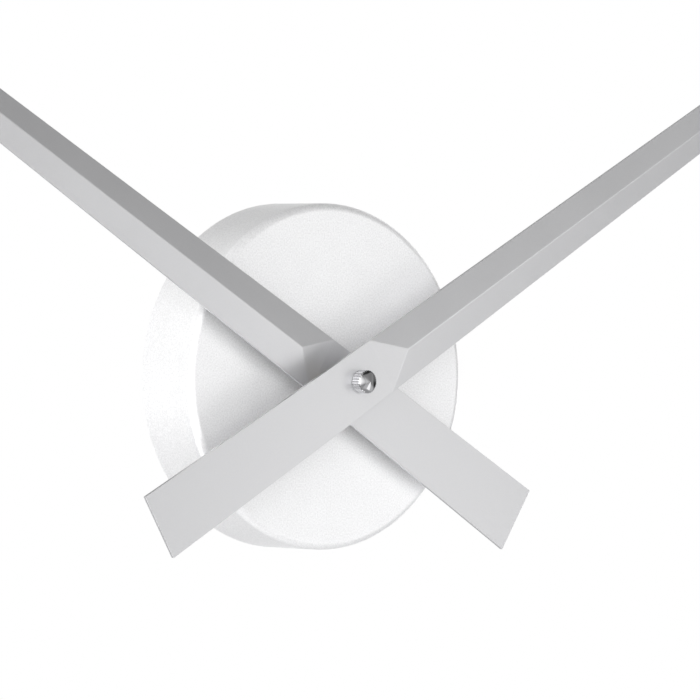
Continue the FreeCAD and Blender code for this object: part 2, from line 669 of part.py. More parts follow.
def make_battery():
    """AA-size cell, lying along x in its bay with the button to the right."""
    body = new_body("battery", ("0", BAY_MIDDLE))
    level = f"({CASE_BACK} + battery_radius)"
    sketch = new_sketch(body, "XZ_Plane")
    left = "(-battery_length / 2)"
    shoulder = f"({left} + battery_length - button_length)"
    end = f"({left} + battery_length)"
    draw_corners(sketch, [
        (left, level),
        (left, f"({level} + battery_radius)"),
        (shoulder, f"({level} + battery_radius)"),
        (shoulder, f"({level} + button_radius)"),
        (end, f"({level} + button_radius)"),
        (end, level),
    ])
    feature = body.newObject("PartDesign::Revolution", "battery_turned")
    feature.Profile = sketch
    feature.ReferenceAxis = (sketch, ["Edge6"])
    feature.Angle = 360


def make_contact(label, corners):
    """A sheet strip seen edge-on in the xy plane, as wide as two strip_half."""
    body = new_body(label)
    level = f"({CASE_BACK} + battery_radius - strip_half)"
    sketch = new_sketch(body, level=level)
    draw_corners(sketch, corners)
    pad(body, sketch, "2 * strip_half")


def make_contacts():
    """Nickel strips, bowed towards both ends of the cell, that lead to the board's edge."""
    inner = f"({INNER_HALF} - strip_thick)"
    touch = "(battery_length / 2 + bow_touch)"
    bow_low, bow_top = f"({BAY_MIDDLE} - bow_half)", f"({BAY_MIDDLE} + bow_half)"
    make_contact("contact_positive", [
        (INNER_HALF, bow_low),
        (INNER_HALF, f"({RIB_TOP} + strip_thick)"),
        (f"({BOARD_RIGHT} - strip_lap)", f"({RIB_TOP} + strip_thick)"),
        (f"({BOARD_RIGHT} - strip_lap)", RIB_TOP),
        (inner, RIB_TOP),
        (inner, bow_top),
        (touch, BAY_MIDDLE),
        (inner, bow_low),
    ])
    make_contact("contact_negative", [
        (f"-{INNER_HALF}", bow_low),
        (f"-{INNER_HALF}", f"({RIB_TOP} + strip_rise)"),
        (f"-{inner}", f"({RIB_TOP} + strip_rise)"),
        (f"-{inner}", bow_top),
        (f"-{touch}", BAY_MIDDLE),
        (f"-{inner}", bow_low),
    ])


def make_board():
    """Board with the resin drop over its chip and the can of the quartz crystal."""
    board = new_body("circuit_board")
    sketch = new_sketch(board, level=BOARD_LEVEL)
    board_top = f"({BOARD_LOW} + board_length)"
    draw_corners(sketch, box_corners(BOARD_LEFT, BOARD_LOW, BOARD_RIGHT, board_top))
    pad(board, sketch, "board_thick")
    chip = new_body("clock_chip", on_board("chip_place"))
    turn_profile(chip, [
        ("0", BOARD_FRONT),
        ("chip_radius", BOARD_FRONT),
        ("chip_radius", f"({BOARD_FRONT} + chip_edge)"),
        ("chip_crown", f"({BOARD_FRONT} + chip_rise)"),
        ("0", f"({BOARD_FRONT} + chip_rise)"),
    ])
    crystal = new_body("quartz_crystal", on_board("crystal_place"))
    can = new_sketch(crystal, "XZ_Plane")
    draw_circle(can, "crystal_radius", "0", f"({BOARD_FRONT} + crystal_radius)")
    pad(crystal, can, "crystal_length", midplane=True)


def make_stator():
    """Soft-iron plate with the rotor's hole and two legs up to the coil core."""
    stator = new_body("stator")
    outline = new_sketch(stator, level=STATOR_LEVEL)
    leg_top = f"({COIL_HEIGHT} + core_half)"
    left_leg = f"({STATOR_LEFT} + leg_width)"
    right_leg = f"({STATOR_RIGHT} - leg_width)"
    draw_corners(outline, [
        (STATOR_LEFT, STATOR_LOW),
        (STATOR_RIGHT, STATOR_LOW),
        (STATOR_RIGHT, leg_top),
        (right_leg, leg_top),
        (right_leg, STATOR_BAR),
        (left_leg, STATOR_BAR),
        (left_leg, leg_top),
        (STATOR_LEFT, leg_top),
    ])
    pad(stator, outline, "stator_thick")
    drill(stator, "(magnet_radius + stator_gap)", STATOR_LEVEL, STATOR_FRONT, ROTOR)
    drill(stator, "(arbor_radius + stator_gap)", STATOR_LEVEL, STATOR_FRONT, INTERMEDIATE)


def make_coil():
    """Core bar, bobbin and winding. The last two are drawn across the x axis."""
    core = new_body("coil_core")
    bar = new_sketch(core, level=CORE_LEVEL)
    draw_corners(bar, box_corners(
        STATOR_LEFT, f"({COIL_HEIGHT} - core_half)", STATOR_RIGHT, f"({COIL_HEIGHT} + core_half)"
    ))
    pad(core, bar, "stator_thick")

    axis_level = f"({CORE_LEVEL} + stator_thick / 2)"
    start = f"({STATOR_LEFT} + leg_width + stator_gap)"
    stop = f"({STATOR_RIGHT} - leg_width - stator_gap)"
    inner_start, inner_stop = f"({start} + bobbin_flange)", f"({stop} - bobbin_flange)"
    bobbin = new_body("coil_bobbin")
    for low, high, radius in (
        (start, inner_start, "coil_radius"),
        (inner_start, inner_stop, "barrel_radius"),
        (inner_stop, stop, "coil_radius"),
    ):
        disc = new_sketch(bobbin, "YZ_Plane", level=low)
        draw_circle(disc, radius, COIL_HEIGHT, axis_level)
        pad(bobbin, disc, f"{high} - {low}")
    slot = new_sketch(bobbin, "YZ_Plane", level=start)
    draw_corners(slot, box_corners(
        f"({COIL_HEIGHT} - core_half - core_clear)",
        f"({CORE_LEVEL} - core_clear)",
        f"({COIL_HEIGHT} + core_half + core_clear)",
        f"({CORE_LEVEL} + stator_thick + core_clear)",
    ))
    pocket(bobbin, slot, f"{stop} - {start}")

    winding = new_body("coil_winding")
    copper = new_sketch(winding, "YZ_Plane", level=inner_start)
    draw_circle(copper, "winding_radius", COIL_HEIGHT, axis_level)
    draw_circle(copper, "(barrel_radius + press_clear)", COIL_HEIGHT, axis_level)
    pad(winding, copper, f"{inner_stop} - {inner_start}")


def arbor(body, low_bearing, high_bearing):
    """A plain arbor between two bearings, with a thinner pivot in each."""
    low, high = f"({low_bearing} + end_play)", f"({high_bearing} - end_play)"
    ring(body, "pivot_radius", f"({low} - pivot_length)", low)
    ring(body, "arbor_radius", low, high)
    ring(body, "pivot_radius", high, f"({high} + pivot_length)")


def wheel(body, module, count, level, phase):
    """Toothed rim of a wheel whose back is at level."""
    teeth(body, module, count, level, f"({level} + wheel_thick)", phase)


def pinion_span(level):
    """Lowest and highest level of a pinion that meshes with the wheel at level."""
    return f"({level} - pinion_reach)", f"({level} + wheel_thick + pinion_reach)"


def make_rotor():
    """Magnet and pinion of the stepping motor, one step of half a turn each second."""
    pinion = new_body("rotor_pinion", ROTOR)
    phase = mesh_phase(0, "intermediate_teeth", "rotor_teeth", number("rotor_angle"))
    low, high = pinion_span(INTERMEDIATE_LEVEL)
    arbor(pinion, BACK_BEARING, PLATE_BACK)
    teeth(pinion, "rotor_module", "rotor_teeth", low, high, phase)
    magnet = new_body("rotor_magnet", ROTOR)
    magnet_back = f"({STATOR_LEVEL} + stator_thick / 2 - magnet_thick / 2)"
    ring(pinion, "(arbor_radius + hub_extra)", high, magnet_back)
    ring(magnet, "magnet_radius", magnet_back, f"({magnet_back} + magnet_thick)",
         "(arbor_radius + press_clear)")


def make_train():
    """Intermediate to centre wheel. Phases put each pair in mesh, the centre's being 0."""
    low, high = pinion_span(SECONDS_LEVEL)
    intermediate = new_body("intermediate_wheel", INTERMEDIATE)
    phase = mesh_phase(0, "seconds_teeth", "drive_teeth", number("intermediate_angle"))
    arbor(intermediate, BACK_BEARING, PLATE_BACK)
    teeth(intermediate, DRIVE_MODULE, "drive_teeth", low, high, phase)
    ring(intermediate, "(arbor_radius + hub_extra)", high, INTERMEDIATE_LEVEL)
    wheel(intermediate, "rotor_module", "intermediate_teeth", INTERMEDIATE_LEVEL, 0)

    low, high = pinion_span(THIRD_LEVEL)
    seconds = new_body("seconds_wheel")
    wheel(seconds, DRIVE_MODULE, "seconds_teeth", SECONDS_LEVEL, 0)
    ring(seconds, "(seconds_radius + hub_extra)", f"({SECONDS_LEVEL} + wheel_thick)", low)
    teeth(seconds, SECONDS_MODULE, "seconds_pinion_teeth", low, high, 0)
    bore_through(seconds, "(seconds_radius + press_clear)", SECONDS_LEVEL, high)
    inner = new_body("seconds_arbor")
    shoulder = f"({BACK_BEARING} + end_play)"
    ring(inner, "pivot_radius", f"({shoulder} - pivot_length)", shoulder)
    ring(inner, "seconds_radius", shoulder, f"({MINUTE_FRONT} + arbor_reach)")

    low, high = pinion_span(CENTRE_LEVEL)
    third = new_body("third_wheel", THIRD)
    third_phase = mesh_phase(0, "seconds_pinion_teeth", "third_teeth", number("third_angle"))
    phase = mesh_phase(0, "centre_teeth", "third_pinion_teeth", number("third_angle"))
    arbor(third, BACK_BEARING, PLATE_BACK)
    wheel(third, SECONDS_MODULE, "third_teeth", THIRD_LEVEL, third_phase)
    ring(third, "(arbor_radius + hub_extra)", f"({THIRD_LEVEL} + wheel_thick)", low)
    teeth(third, "third_module", "third_pinion_teeth", low, high, phase)

    centre = new_body("centre_wheel")
    hub_top = f"({CENTRE_LEVEL} + wheel_thick + strip_thick)"
    wheel(centre, "third_module", "centre_teeth", CENTRE_LEVEL, 0)
    ring(centre, "(minute_radius + 2 * hub_extra)", MINUTE_BACK, hub_top)
    bore_through(centre, "(minute_radius + press_clear)", MINUTE_BACK, hub_top)
    spring = new_body("clutch_spring")
    ring(spring, "(minute_radius + 3 * hub_extra)", hub_top, CLUTCH_FRONT,
         "(minute_radius + press_clear)")


def make_motion_work():
    """Cannon pinion with the minute tube, reverse wheel, hour wheel and its tube."""
    minute_turn, hour_turn = -number("minute_rest"), -number("hour_rest")
    toward_reverse = number("reverse_angle")
    cannon = new_body("minute_arbor")
    tip = f"({MINUTE_FRONT} + tube_reach)"
    low, high = pinion_span(REVERSE_LEVEL)
    ring(cannon, "minute_radius", MINUTE_BACK, tip)
    ring(cannon, "(minute_radius + hub_extra)", CLUTCH_FRONT, f"({CLUTCH_FRONT} + strip_thick)")
    teeth(cannon, CANNON_MODULE, "cannon_teeth", low, high, minute_turn)
    bore_through(cannon, "(seconds_radius + run_clear)", MINUTE_BACK, tip)

    reverse = new_body("reverse_wheel", REVERSE)
    reverse_phase = mesh_phase(minute_turn, "cannon_teeth", "reverse_teeth", toward_reverse)
    phase = mesh_phase(hour_turn, "hour_teeth", "reverse_pinion_teeth", toward_reverse)
    arbor(reverse, PLATE_FRONT, REVERSE_BEARING)
    wheel(reverse, CANNON_MODULE, "reverse_teeth", REVERSE_LEVEL, reverse_phase)
    teeth(reverse, HOUR_MODULE, "reverse_pinion_teeth", f"({REVERSE_LEVEL} + wheel_thick)",
          pinion_span(HOUR_LEVEL)[1], phase)

    hour = new_body("hour_wheel")
    tube_tip = f"({HOUR_FRONT} + tube_end)"
    rim_top = f"({HOUR_LEVEL} + wheel_thick)"
    wheel(hour, HOUR_MODULE, "hour_teeth", HOUR_LEVEL, hour_turn)
    ring(hour, "(hour_radius + 2 * hub_extra)", rim_top, f"({FRONT_INSIDE} - pinion_reach)")
    ring(hour, "hour_radius", rim_top, tube_tip)
    bore_through(hour, "(minute_radius + run_clear)", HOUR_LEVEL, tube_tip)

    setting = new_body("setting_arbor", SETTING)
    phase = mesh_phase(reverse_phase, "reverse_teeth", "setting_teeth", number("setting_angle"))
    ring(setting, "setting_radius", KNOB_BACK, low)
    teeth(setting, CANNON_MODULE, "setting_teeth", low, high, phase)


def make_knob():
    knob = new_body("setting_knob", SETTING)
    front = f"({KNOB_BACK} + knob_thick)"
    ring(knob, "knob_radius", KNOB_BACK, front)
    knurl(knob, "knob_radius", KNOB_BACK, front)
    bore_through(knob, "(setting_radius + press_clear)", KNOB_BACK, front)


def knurl(body, radius, low, high):
    """V-shaped grooves along the side of a round piece."""
    sketch = new_sketch(body, level=low)
    half = f"({radius} * sin(180 / knurl_count) * knurl_share)"
    outside = f"({radius} + knurl_cut)"
    draw_corners(sketch, [
        (f"({radius} - knurl_cut)", "0"),
        (outside, half),
        (outside, f"-{half}"),
    ])
    groove = pocket(body, sketch, f"{high} - {low}")
    repeat_round(body, groove, "knurl_count")


def make_cap_nut():
    """Knurled nut with a shallow conical front, screwed on the minute tube."""
    body = new_body("cap_nut")
    shoulder = f"({MINUTE_FRONT} + cap_height)"
    turn_profile(body, [
        ("0", f"({MINUTE_FRONT} + cap_bore)"),
        ("(minute_radius + thread_clear)", f"({MINUTE_FRONT} + cap_bore)"),
        ("(minute_radius + thread_clear)", MINUTE_FRONT),
        ("cap_radius", MINUTE_FRONT),
        ("cap_radius", shoulder),
        ("0", f"({shoulder} + cap_cone)"),
    ])
    knurl(body, "cap_radius", MINUTE_FRONT, shoulder)


def make_collet(label, front, sleeve, bore, length):
    """Turned brass collet, riveted into a hand from behind."""
    body = new_body(label)
    behind = f"({front} - hand_thick)"
    flange = f"({behind} - collet_thick)"
    back = f"({flange} - {length})"
    inside = f"({bore} + press_clear)"
    turn_profile(body, [
        (inside, front),
        (sleeve, front),
        (sleeve, behind),
        (f"({sleeve} + collet_rim)", behind),
        (f"({sleeve} + collet_rim)", flange),
        (sleeve, flange),
        (sleeve, back),
        (inside, back),
    ])


def hand_corners(length, tail_length):
    """Front surface of a folded hand along +y: name -> (x, y, rise over the flat)."""
    def half(y):
        return number("hand_half") - number("hand_taper") * y

    tail, lean = -tail_length, -number("tail_lean")
    bend, hip, start = -number("tail_start"), number("hip_start"), number("ridge_start")
    rise = number("ridge_rise")
    corners = {
        "ridge_start": (0, start, rise),
        "ridge_end": (0, length, rise * half(length) / half(start)),
    }
    rows = (("tail", tail, lean), ("bend", bend, 0), ("hip", hip, 0), ("tip", length, 0))
    for name, y, level in rows:
        corners[name + "_left"] = (-half(y), y, level)
        corners[name + "_right"] = (half(y), y, level)
    return corners


HAND_FACES = [
    ("tail_left", "tail_right", "bend_right", "bend_left"),
    ("bend_left", "bend_right", "hip_right", "hip_left"),
    ("hip_left", "hip_right", "ridge_start"),
    ("hip_right", "tip_right", "ridge_end", "ridge_start"),
    ("tip_left", "hip_left", "ridge_start", "ridge_end"),
]
HAND_RIM = [
    "tail_left", "tail_right", "bend_right", "hip_right", "tip_right",
    "ridge_end", "tip_left", "hip_left", "bend_left",
]


def flat_face(points):
    return Part.Face(Part.makePolygon(points + points[:1]))


def make_hand(label, front):
    """Folded sheet: front faces, the same faces one thickness behind, and the rim."""
    length, tail = number(label + "_length"), number(label + "_tail")
    hole, rest = number(label + "_collet"), number(label + "_rest")
    top, bottom = {}, {}
    for name, (x, y, rise) in hand_corners(length, tail).items():
        top[name] = Vector(x, y, number(front) + rise)
        bottom[name] = top[name] - Vector(0, 0, number("hand_thick"))
    faces = []
    for outline in HAND_FACES:
        faces.append(flat_face([top[name] for name in outline]))
        faces.append(flat_face([bottom[name] for name in outline]))
    for name, after in zip(HAND_RIM, HAND_RIM[1:] + HAND_RIM[:1]):
        faces.append(flat_face([top[name], top[after], bottom[after], bottom[name]]))
    solid = Part.makeSolid(Part.makeShell(faces))
    if solid.Volume < 0:
        solid.reverse()
    bore = Part.makeCylinder(
        hole + number("press_clear"), 3 * number("hand_thick"),
        Vector(0, 0, number(front) - 2 * number("hand_thick")),
    )
    hand = document.addObject("Part::Feature", label + "_hand")
    hand.Label = label + "_hand"
    hand.Shape = solid.cut(bore)
    turn = Placement(Vector(0, 0, 0), Rotation(Vector(0, 0, 1), -rest))
    hand.Placement = UPRIGHT.multiply(turn)
    PARTS.append(hand)


def make_hands():
    make_collet("hour_collet", HOUR_FRONT, "hour_collet", "hour_radius", "hour_sleeve")
    make_collet("minute_collet", MINUTE_FRONT, "minute_collet", "minute_radius", "minute_sleeve")
    make_hand("hour", HOUR_FRONT)
    make_hand("minute", MINUTE_FRONT)


def check(item):
    if "Invalid" in item.State or "Error" in item.State:
        raise ValueError(f"{item.Label} failed: {item.State}")


def write_parts():
    os.makedirs("parts", exist_ok=True)
    for item in document.Objects:
        check(item)
    for piece in PARTS:
        if piece.Shape.isNull() or not piece.Shape.isValid():
            raise ValueError(piece.Label + " has no valid shape")
    for piece in PARTS:
        piece.Shape.exportStep(os.path.join("parts", piece.Label + ".step"))
        print(f"{piece.Label:22s} {len(piece.Shape.Solids)} solid, {piece.Shape.Volume:10.2f} mm3")


make_housing()
make_washers()
make_fixing_nut()
make_bush()
make_bracket()
make_case_front()
make_case_back()
make_middle_plate()
make_battery()
make_contacts()
make_board()
make_stator()
make_coil()
make_rotor()
make_train()
make_motion_work()
make_knob()
make_hands()
make_cap_nut()
document.recompute()
write_parts()
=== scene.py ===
import json
import math

import bmesh
import bpy
from mathutils import Matrix, Vector


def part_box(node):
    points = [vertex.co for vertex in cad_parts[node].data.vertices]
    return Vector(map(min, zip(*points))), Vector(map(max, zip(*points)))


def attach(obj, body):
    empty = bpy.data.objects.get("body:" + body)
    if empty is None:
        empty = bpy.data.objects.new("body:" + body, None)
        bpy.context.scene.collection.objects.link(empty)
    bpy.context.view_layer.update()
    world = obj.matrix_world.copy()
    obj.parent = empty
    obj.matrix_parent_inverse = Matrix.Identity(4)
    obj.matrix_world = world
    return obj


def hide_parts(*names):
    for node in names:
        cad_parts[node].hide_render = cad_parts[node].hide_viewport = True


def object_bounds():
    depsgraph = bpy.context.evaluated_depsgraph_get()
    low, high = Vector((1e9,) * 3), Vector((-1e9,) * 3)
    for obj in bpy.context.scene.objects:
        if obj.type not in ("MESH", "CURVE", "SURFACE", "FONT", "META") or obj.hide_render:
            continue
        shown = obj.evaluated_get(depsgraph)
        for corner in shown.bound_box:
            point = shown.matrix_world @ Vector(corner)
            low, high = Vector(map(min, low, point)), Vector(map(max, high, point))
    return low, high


# A wall clock: two long folded hands over a small round housing with a battery
# movement. The reader looks along +Y, the wall is y = 0, and the hands' shaft is
# the y axis. Lengths are in metres, so sizes are written as a number times MM.

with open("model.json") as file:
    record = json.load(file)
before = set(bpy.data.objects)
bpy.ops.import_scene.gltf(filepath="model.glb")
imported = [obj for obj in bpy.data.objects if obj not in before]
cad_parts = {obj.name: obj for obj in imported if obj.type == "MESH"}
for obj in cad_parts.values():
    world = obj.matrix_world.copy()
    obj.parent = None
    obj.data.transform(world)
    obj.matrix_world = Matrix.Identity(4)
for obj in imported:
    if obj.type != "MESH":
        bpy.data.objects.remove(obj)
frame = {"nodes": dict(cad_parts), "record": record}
cad_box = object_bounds()

MM = 0.001
SAME = 0.001 * MM         # points this close together are one point
IN_LINE = 0.01 * MM       # points this close to a line or level are on it
SHAFT = Vector((0.0, 0.0, 0.0))
SORT_POINT = Vector((0.11, 0.23, 0.37))    # not on a plane of symmetry of any piece


# ------------------------------------------------------------------ modelling

def select_only(piece):
    bpy.ops.object.select_all(action="DESELECT")
    piece.select_set(True)
    bpy.context.view_layer.objects.active = piece


def start(name, add, **settings):
    """Add a primitive at its size and place, name it and open it in edit mode."""
    bpy.ops.object.select_all(action="DESELECT")
    add(**settings)
    piece = bpy.context.object
    piece.name = name
    piece.data.name = name
    bpy.ops.object.transform_apply(location=True, rotation=True, scale=True)
    bpy.ops.object.mode_set(mode="EDIT")
    return piece


def pick(piece, kind, wanted):
    """Select the vertices, edges or faces that wanted() says, and nothing else."""
    bpy.ops.mesh.select_mode(type=kind)
    bpy.ops.mesh.select_all(action="DESELECT")
    mesh = bmesh.from_edit_mesh(piece.data)
    items = {"VERT": mesh.verts, "EDGE": mesh.edges, "FACE": mesh.faces}[kind]
    for item in items:
        if wanted(item):
            item.select_set(True)
    bmesh.update_edit_mesh(piece.data)


def middle_of_picked(piece):
    """Middle of the vertices that are selected."""
    spots = [v.co.copy() for v in bmesh.from_edit_mesh(piece.data).verts if v.select]
    return sum(spots, Vector()) / len(spots)


def close(piece, clean=True):
    """Merge what lies together, turn the faces outwards and leave edit mode."""
    bpy.ops.mesh.select_mode(type="VERT")
    bpy.ops.mesh.select_all(action="SELECT")
    bpy.ops.mesh.remove_doubles(threshold=SAME)
    if clean:
        bpy.ops.mesh.normals_make_consistent(inside=False)
    # extruding numbers the faces differently each time, and cuts depend on their order
    bpy.context.scene.cursor.location = SORT_POINT
    bpy.ops.mesh.sort_elements(type="CURSOR_DISTANCE", elements={"VERT", "EDGE", "FACE"})
    bpy.ops.object.mode_set(mode="OBJECT")
    return piece


def modify(piece, kind, **settings):
    """Add a modifier, give it its settings and apply it."""
    select_only(piece)
    modifier = piece.modifiers.new(kind.title(), kind)
    for setting, value in settings.items():
        setattr(modifier, setting, value)
    bpy.ops.object.modifier_apply(modifier=modifier.name)


def combine(piece, tool, operation):
    """Cut, join or intersect a piece with a tool, which is used up."""
    modify(piece, "BOOLEAN", operation=operation, object=tool, solver="EXACT")
    bpy.data.objects.remove(tool)


def soften(piece, width, segments=2, angle=30):
    """Small radius on every sharp edge, and flat faces that stay flat in the light."""
    if width:
        modify(piece, "BEVEL", width=width, segments=segments, limit_method="ANGLE",
               angle_limit=math.radians(angle), use_clamp_overlap=True)
    select_only(piece)
    bpy.ops.object.shade_smooth_by_angle(angle=math.radians(angle))
    modify(piece, "WEIGHTED_NORMAL", keep_sharp=True, weight=50)


def turned(name, rings, axis=SHAFT, along="Y", segments=128):
    """A lathe piece: a circle that is extruded and scaled through (radius, level) rings."""
    lane = "XYZ".index(along)
    turn = {"X": (0, math.radians(90), 0), "Y": (math.radians(90), 0, 0)}[along]
    radius, level = rings[0]
    spot = axis.copy()
    spot[lane] = level
    piece = start(name, bpy.ops.mesh.primitive_circle_add,
                  vertices=segments, radius=radius, location=spot, rotation=turn)
    bpy.ops.mesh.select_mode(type="EDGE")
    bpy.ops.mesh.select_all(action="SELECT")
    for next_radius, next_level in rings[1:]:
        step = Vector((0.0, 0.0, 0.0))
        step[lane] = next_level - level
        scale = Vector((1.0, 1.0, 1.0)) * (next_radius / radius)
        scale[lane] = 1.0
        spot[lane] = next_level
        bpy.ops.mesh.extrude_edges_move(TRANSFORM_OT_translate={"value": step})
        bpy.ops.transform.resize(value=scale, center_override=spot)
        radius, level = next_radius, next_level
    if rings[0] != rings[-1]:
        bpy.ops.mesh.edge_face_add()
        pick(piece, "EDGE", lambda edge: edge.is_boundary)
        bpy.ops.mesh.edge_face_add()
    return close(piece)


def quarter(centre_radius, centre_level, radius, first, last, steps):
    """Rings round a corner: an arc of the profile from angle first to last in degrees."""
    angles = [math.radians(first + (last - first) * at / steps) for at in range(steps + 1)]
    return [
        (centre_radius + radius * math.cos(angle), centre_level + radius * math.sin(angle))
        for angle in angles
    ]


def cad_copy(node, name):
    """A CAD node's mesh with its triangles joined up into whole faces."""
    piece = frame["nodes"][node].copy()
    piece.data = piece.data.copy()
    piece.name = piece.data.name = name
    piece.parent = None
    for key in list(piece.keys()):
        del piece[key]
    bpy.context.scene.collection.objects.link(piece)
    piece.data.materials.clear()
    select_only(piece)
    bpy.ops.object.mode_set(mode="EDIT")
    bpy.ops.mesh.select_mode(type="VERT")
    bpy.ops.mesh.select_all(action="SELECT")
    bpy.ops.mesh.remove_doubles(threshold=SAME)
    bpy.ops.mesh.customdata_custom_splitnormals_clear()
    bpy.ops.mesh.dissolve_limited(angle_limit=math.radians(0.5))
    bpy.ops.object.mode_set(mode="OBJECT")
    return piece


def tool_block(low, high):
    """A box between two corners, to cut or to join."""
    low, high = Vector(low), Vector(high)
    piece = start("block", bpy.ops.mesh.primitive_cube_add, size=1, location=(low + high) / 2,
                  scale=high - low)
    return close(piece)


# ------------------------------------------------------------------ materials

class Value:
    """A node's output. Arithmetic on it adds Math nodes."""

    def __init__(self, finish, socket):
        self.finish = finish
        self.socket = socket

    def math(self, operation, first, second=0.0):
        return self.finish.node("ShaderNodeMath", {"operation": operation}, {0: first, 1: second})

    def __add__(self, other):
        return self.math("ADD", self, other)

    def __radd__(self, other):
        return self.math("ADD", other, self)

    def __sub__(self, other):
        return self.math("SUBTRACT", self, other)

    def __rsub__(self, other):
        return self.math("SUBTRACT", other, self)

    def __mul__(self, other):
        return self.math("MULTIPLY", self, other)

    def __rmul__(self, other):
        return self.math("MULTIPLY", other, self)

    def __truediv__(self, other):
        return self.math("DIVIDE", self, other)

    def above(self, edge, soft):
        """0 below edge and 1 above it, with a step that is soft wide."""
        return self.finish.node(
            "ShaderNodeMapRange", {"interpolation_type": "SMOOTHSTEP"},
            {"Value": self, "From Min": edge - soft / 2, "From Max": edge + soft / 2},
        )


class Nodes:
    """A node tree that is written as expressions."""

    def __init__(self, tree):
        self.tree = tree

    def feed(self, node, socket, value):
        if isinstance(value, Value):
            self.tree.links.new(value.socket, node.inputs[socket])
        else:
            node.inputs[socket].default_value = value

    def node(self, kind, settings, inputs, output=0):
        made = self.tree.nodes.new(kind)
        for setting, value in settings.items():
            setattr(made, setting, value)
        for socket, value in inputs.items():
            self.feed(made, socket, value)
        return Value(self, made.outputs[output])

    def parts(self, vector):
        """The x, y and z of a vector."""
        split = self.tree.nodes.new("ShaderNodeSeparateXYZ")
        self.feed(split, 0, vector)
        return [Value(self, output) for output in split.outputs]


class Finish(Nodes):
    """A procedural material on the Principled shader."""

    def __init__(self, name, color, **shader):
        self.material = bpy.data.materials.new(name)
        self.material.use_nodes = True
        super().__init__(self.material.node_tree)
        self.shader = self.tree.nodes["Principled BSDF"]
        self.place = self.node("ShaderNodeTexCoord", {}, {}, "Object")
        self.color = color
        self.set("Base Color", (*color, 1.0))
        for socket, value in shader.items():
            self.set(socket.replace("_", " ").title().replace("Ior", "IOR"), value)

    def set(self, socket, value):
        self.feed(self.shader, socket, value)

    def noise(self, size, detail=2.0, stretch=(1.0, 1.0, 1.0)):
        """Noise from 0 to 1 with grains about size across, drawn out along the axes."""
        spot = self.node("ShaderNodeMapping", {}, {
            "Vector": self.place, "Scale": [1.0 / (size * share) for share in stretch],
        })
        return self.node("ShaderNodeTexNoise", {}, {"Vector": spot, "Scale": 1.0, "Detail": detail})

    def shade(self, amount):
        """Base colour times a Value, through a vector so that it stays a colour."""
        self.set("Base Color", self.node(
            "ShaderNodeVectorMath", {"operation": "SCALE"}, {0: self.color, "Scale": amount}
        ))

    def paint(self, factor, other):
        """Blend from the finish's colour to another one."""
        self.set("Base Color", self.node(
            "ShaderNodeMix", {"data_type": "RGBA"},
            {0: factor, 6: (*self.color, 1.0), 7: (*other, 1.0)}, 2,
        ))

    def bump(self, height, depth):
        """Relief of a height from 0 to 1 that is depth metres deep."""
        self.set("Normal", self.node("ShaderNodeBump", {}, {"Height": height, "Distance": depth}))


def silver_lacquer():
    """Satin silver with fine flakes that catch the light one by one."""
    finish = Finish("silver_lacquer", (0.90, 0.90, 0.905), metallic=0.35)
    flake = finish.noise(0.55 * MM, 1.0)
    cloud = finish.noise(9.0 * MM, 2.0)
    finish.shade(0.80 + 0.36 * flake + 0.04 * cloud)
    finish.set("Roughness", 0.34 + 0.12 * flake)
    finish.bump(flake, 0.05 * MM)
    return finish.material


def hand_metal():
    """Anodised aluminium sheet, satin and even."""
    finish = Finish("hand_metal", (0.72, 0.72, 0.73), metallic=0.9)
    grain = finish.noise(0.45 * MM, 2.0)
    cloud = finish.noise(25.0 * MM, 2.0)
    finish.shade(0.95 + 0.06 * grain + 0.04 * cloud)
    finish.set("Roughness", 0.33 + 0.08 * grain + 0.05 * cloud)
    finish.bump(grain, 0.002 * MM)
    return finish.material


def polished_chrome():
    finish = Finish("polished_chrome", (0.52, 0.52, 0.53), metallic=1.0)
    haze = finish.noise(1.2 * MM, 3.0)
    finish.set("Roughness", 0.03 + 0.04 * haze)
    return finish.material


def turned_brass():
    """Brass turned on an automatic lathe, nickel plated."""
    finish = Finish("turned_brass", (0.66, 0.64, 0.60), metallic=1.0)
    lines = finish.noise(0.12 * MM, 2.0, (60.0, 1.0, 60.0))
    stain = finish.noise(2.5 * MM, 3.0)
    finish.shade(0.86 + 0.12 * lines + 0.08 * stain)
    finish.set("Roughness", 0.20 + 0.20 * lines)
    finish.bump(lines, 0.008 * MM)
    return finish.material


def zinc_steel():
    finish = Finish("zinc_steel", (0.62, 0.63, 0.65), metallic=1.0)
    grain = finish.noise(0.5 * MM, 3.0, (1.0, 1.0, 6.0))
    cloud = finish.noise(6.0 * MM, 3.0)
    finish.shade(0.82 + 0.12 * grain + 0.16 * cloud)
    finish.set("Roughness", 0.28 + 0.20 * grain)
    finish.bump(grain, 0.01 * MM)
    return finish.material


def soft_iron():
    finish = Finish("soft_iron", (0.50, 0.51, 0.53), metallic=1.0)
    grain = finish.noise(0.3 * MM, 3.0, (8.0, 1.0, 1.0))
    finish.shade(0.85 + 0.2 * grain)
    finish.set("Roughness", 0.38 + 0.15 * grain)
    finish.bump(grain, 0.008 * MM)
    return finish.material


def nickel():
    finish = Finish("nickel", (0.76, 0.74, 0.70), metallic=1.0)
    haze = finish.noise(0.8 * MM, 3.0, (1.0, 3.0, 1.0))
    finish.shade(0.88 + 0.14 * haze)
    finish.set("Roughness", 0.18 + 0.14 * haze)
    return finish.material


def grained_plastic(name, color, roughness, size=0.35 * MM, depth=0.03 * MM):
    """Moulded plastic with the fine grain of a spark-eroded mould."""
    finish = Finish(name, color)
    grain = finish.noise(size, 3.0)
    wear = finish.noise(7.0 * MM, 3.0)
    finish.shade(0.88 + 0.16 * grain + 0.08 * wear)
    finish.set("Roughness", roughness - 0.06 + 0.12 * wear)
    finish.bump(grain, depth)
    return finish.material


def black_rubber():
    return grained_plastic("black_rubber", (0.03, 0.03, 0.03), 0.75, 0.2 * MM, 0.02 * MM)


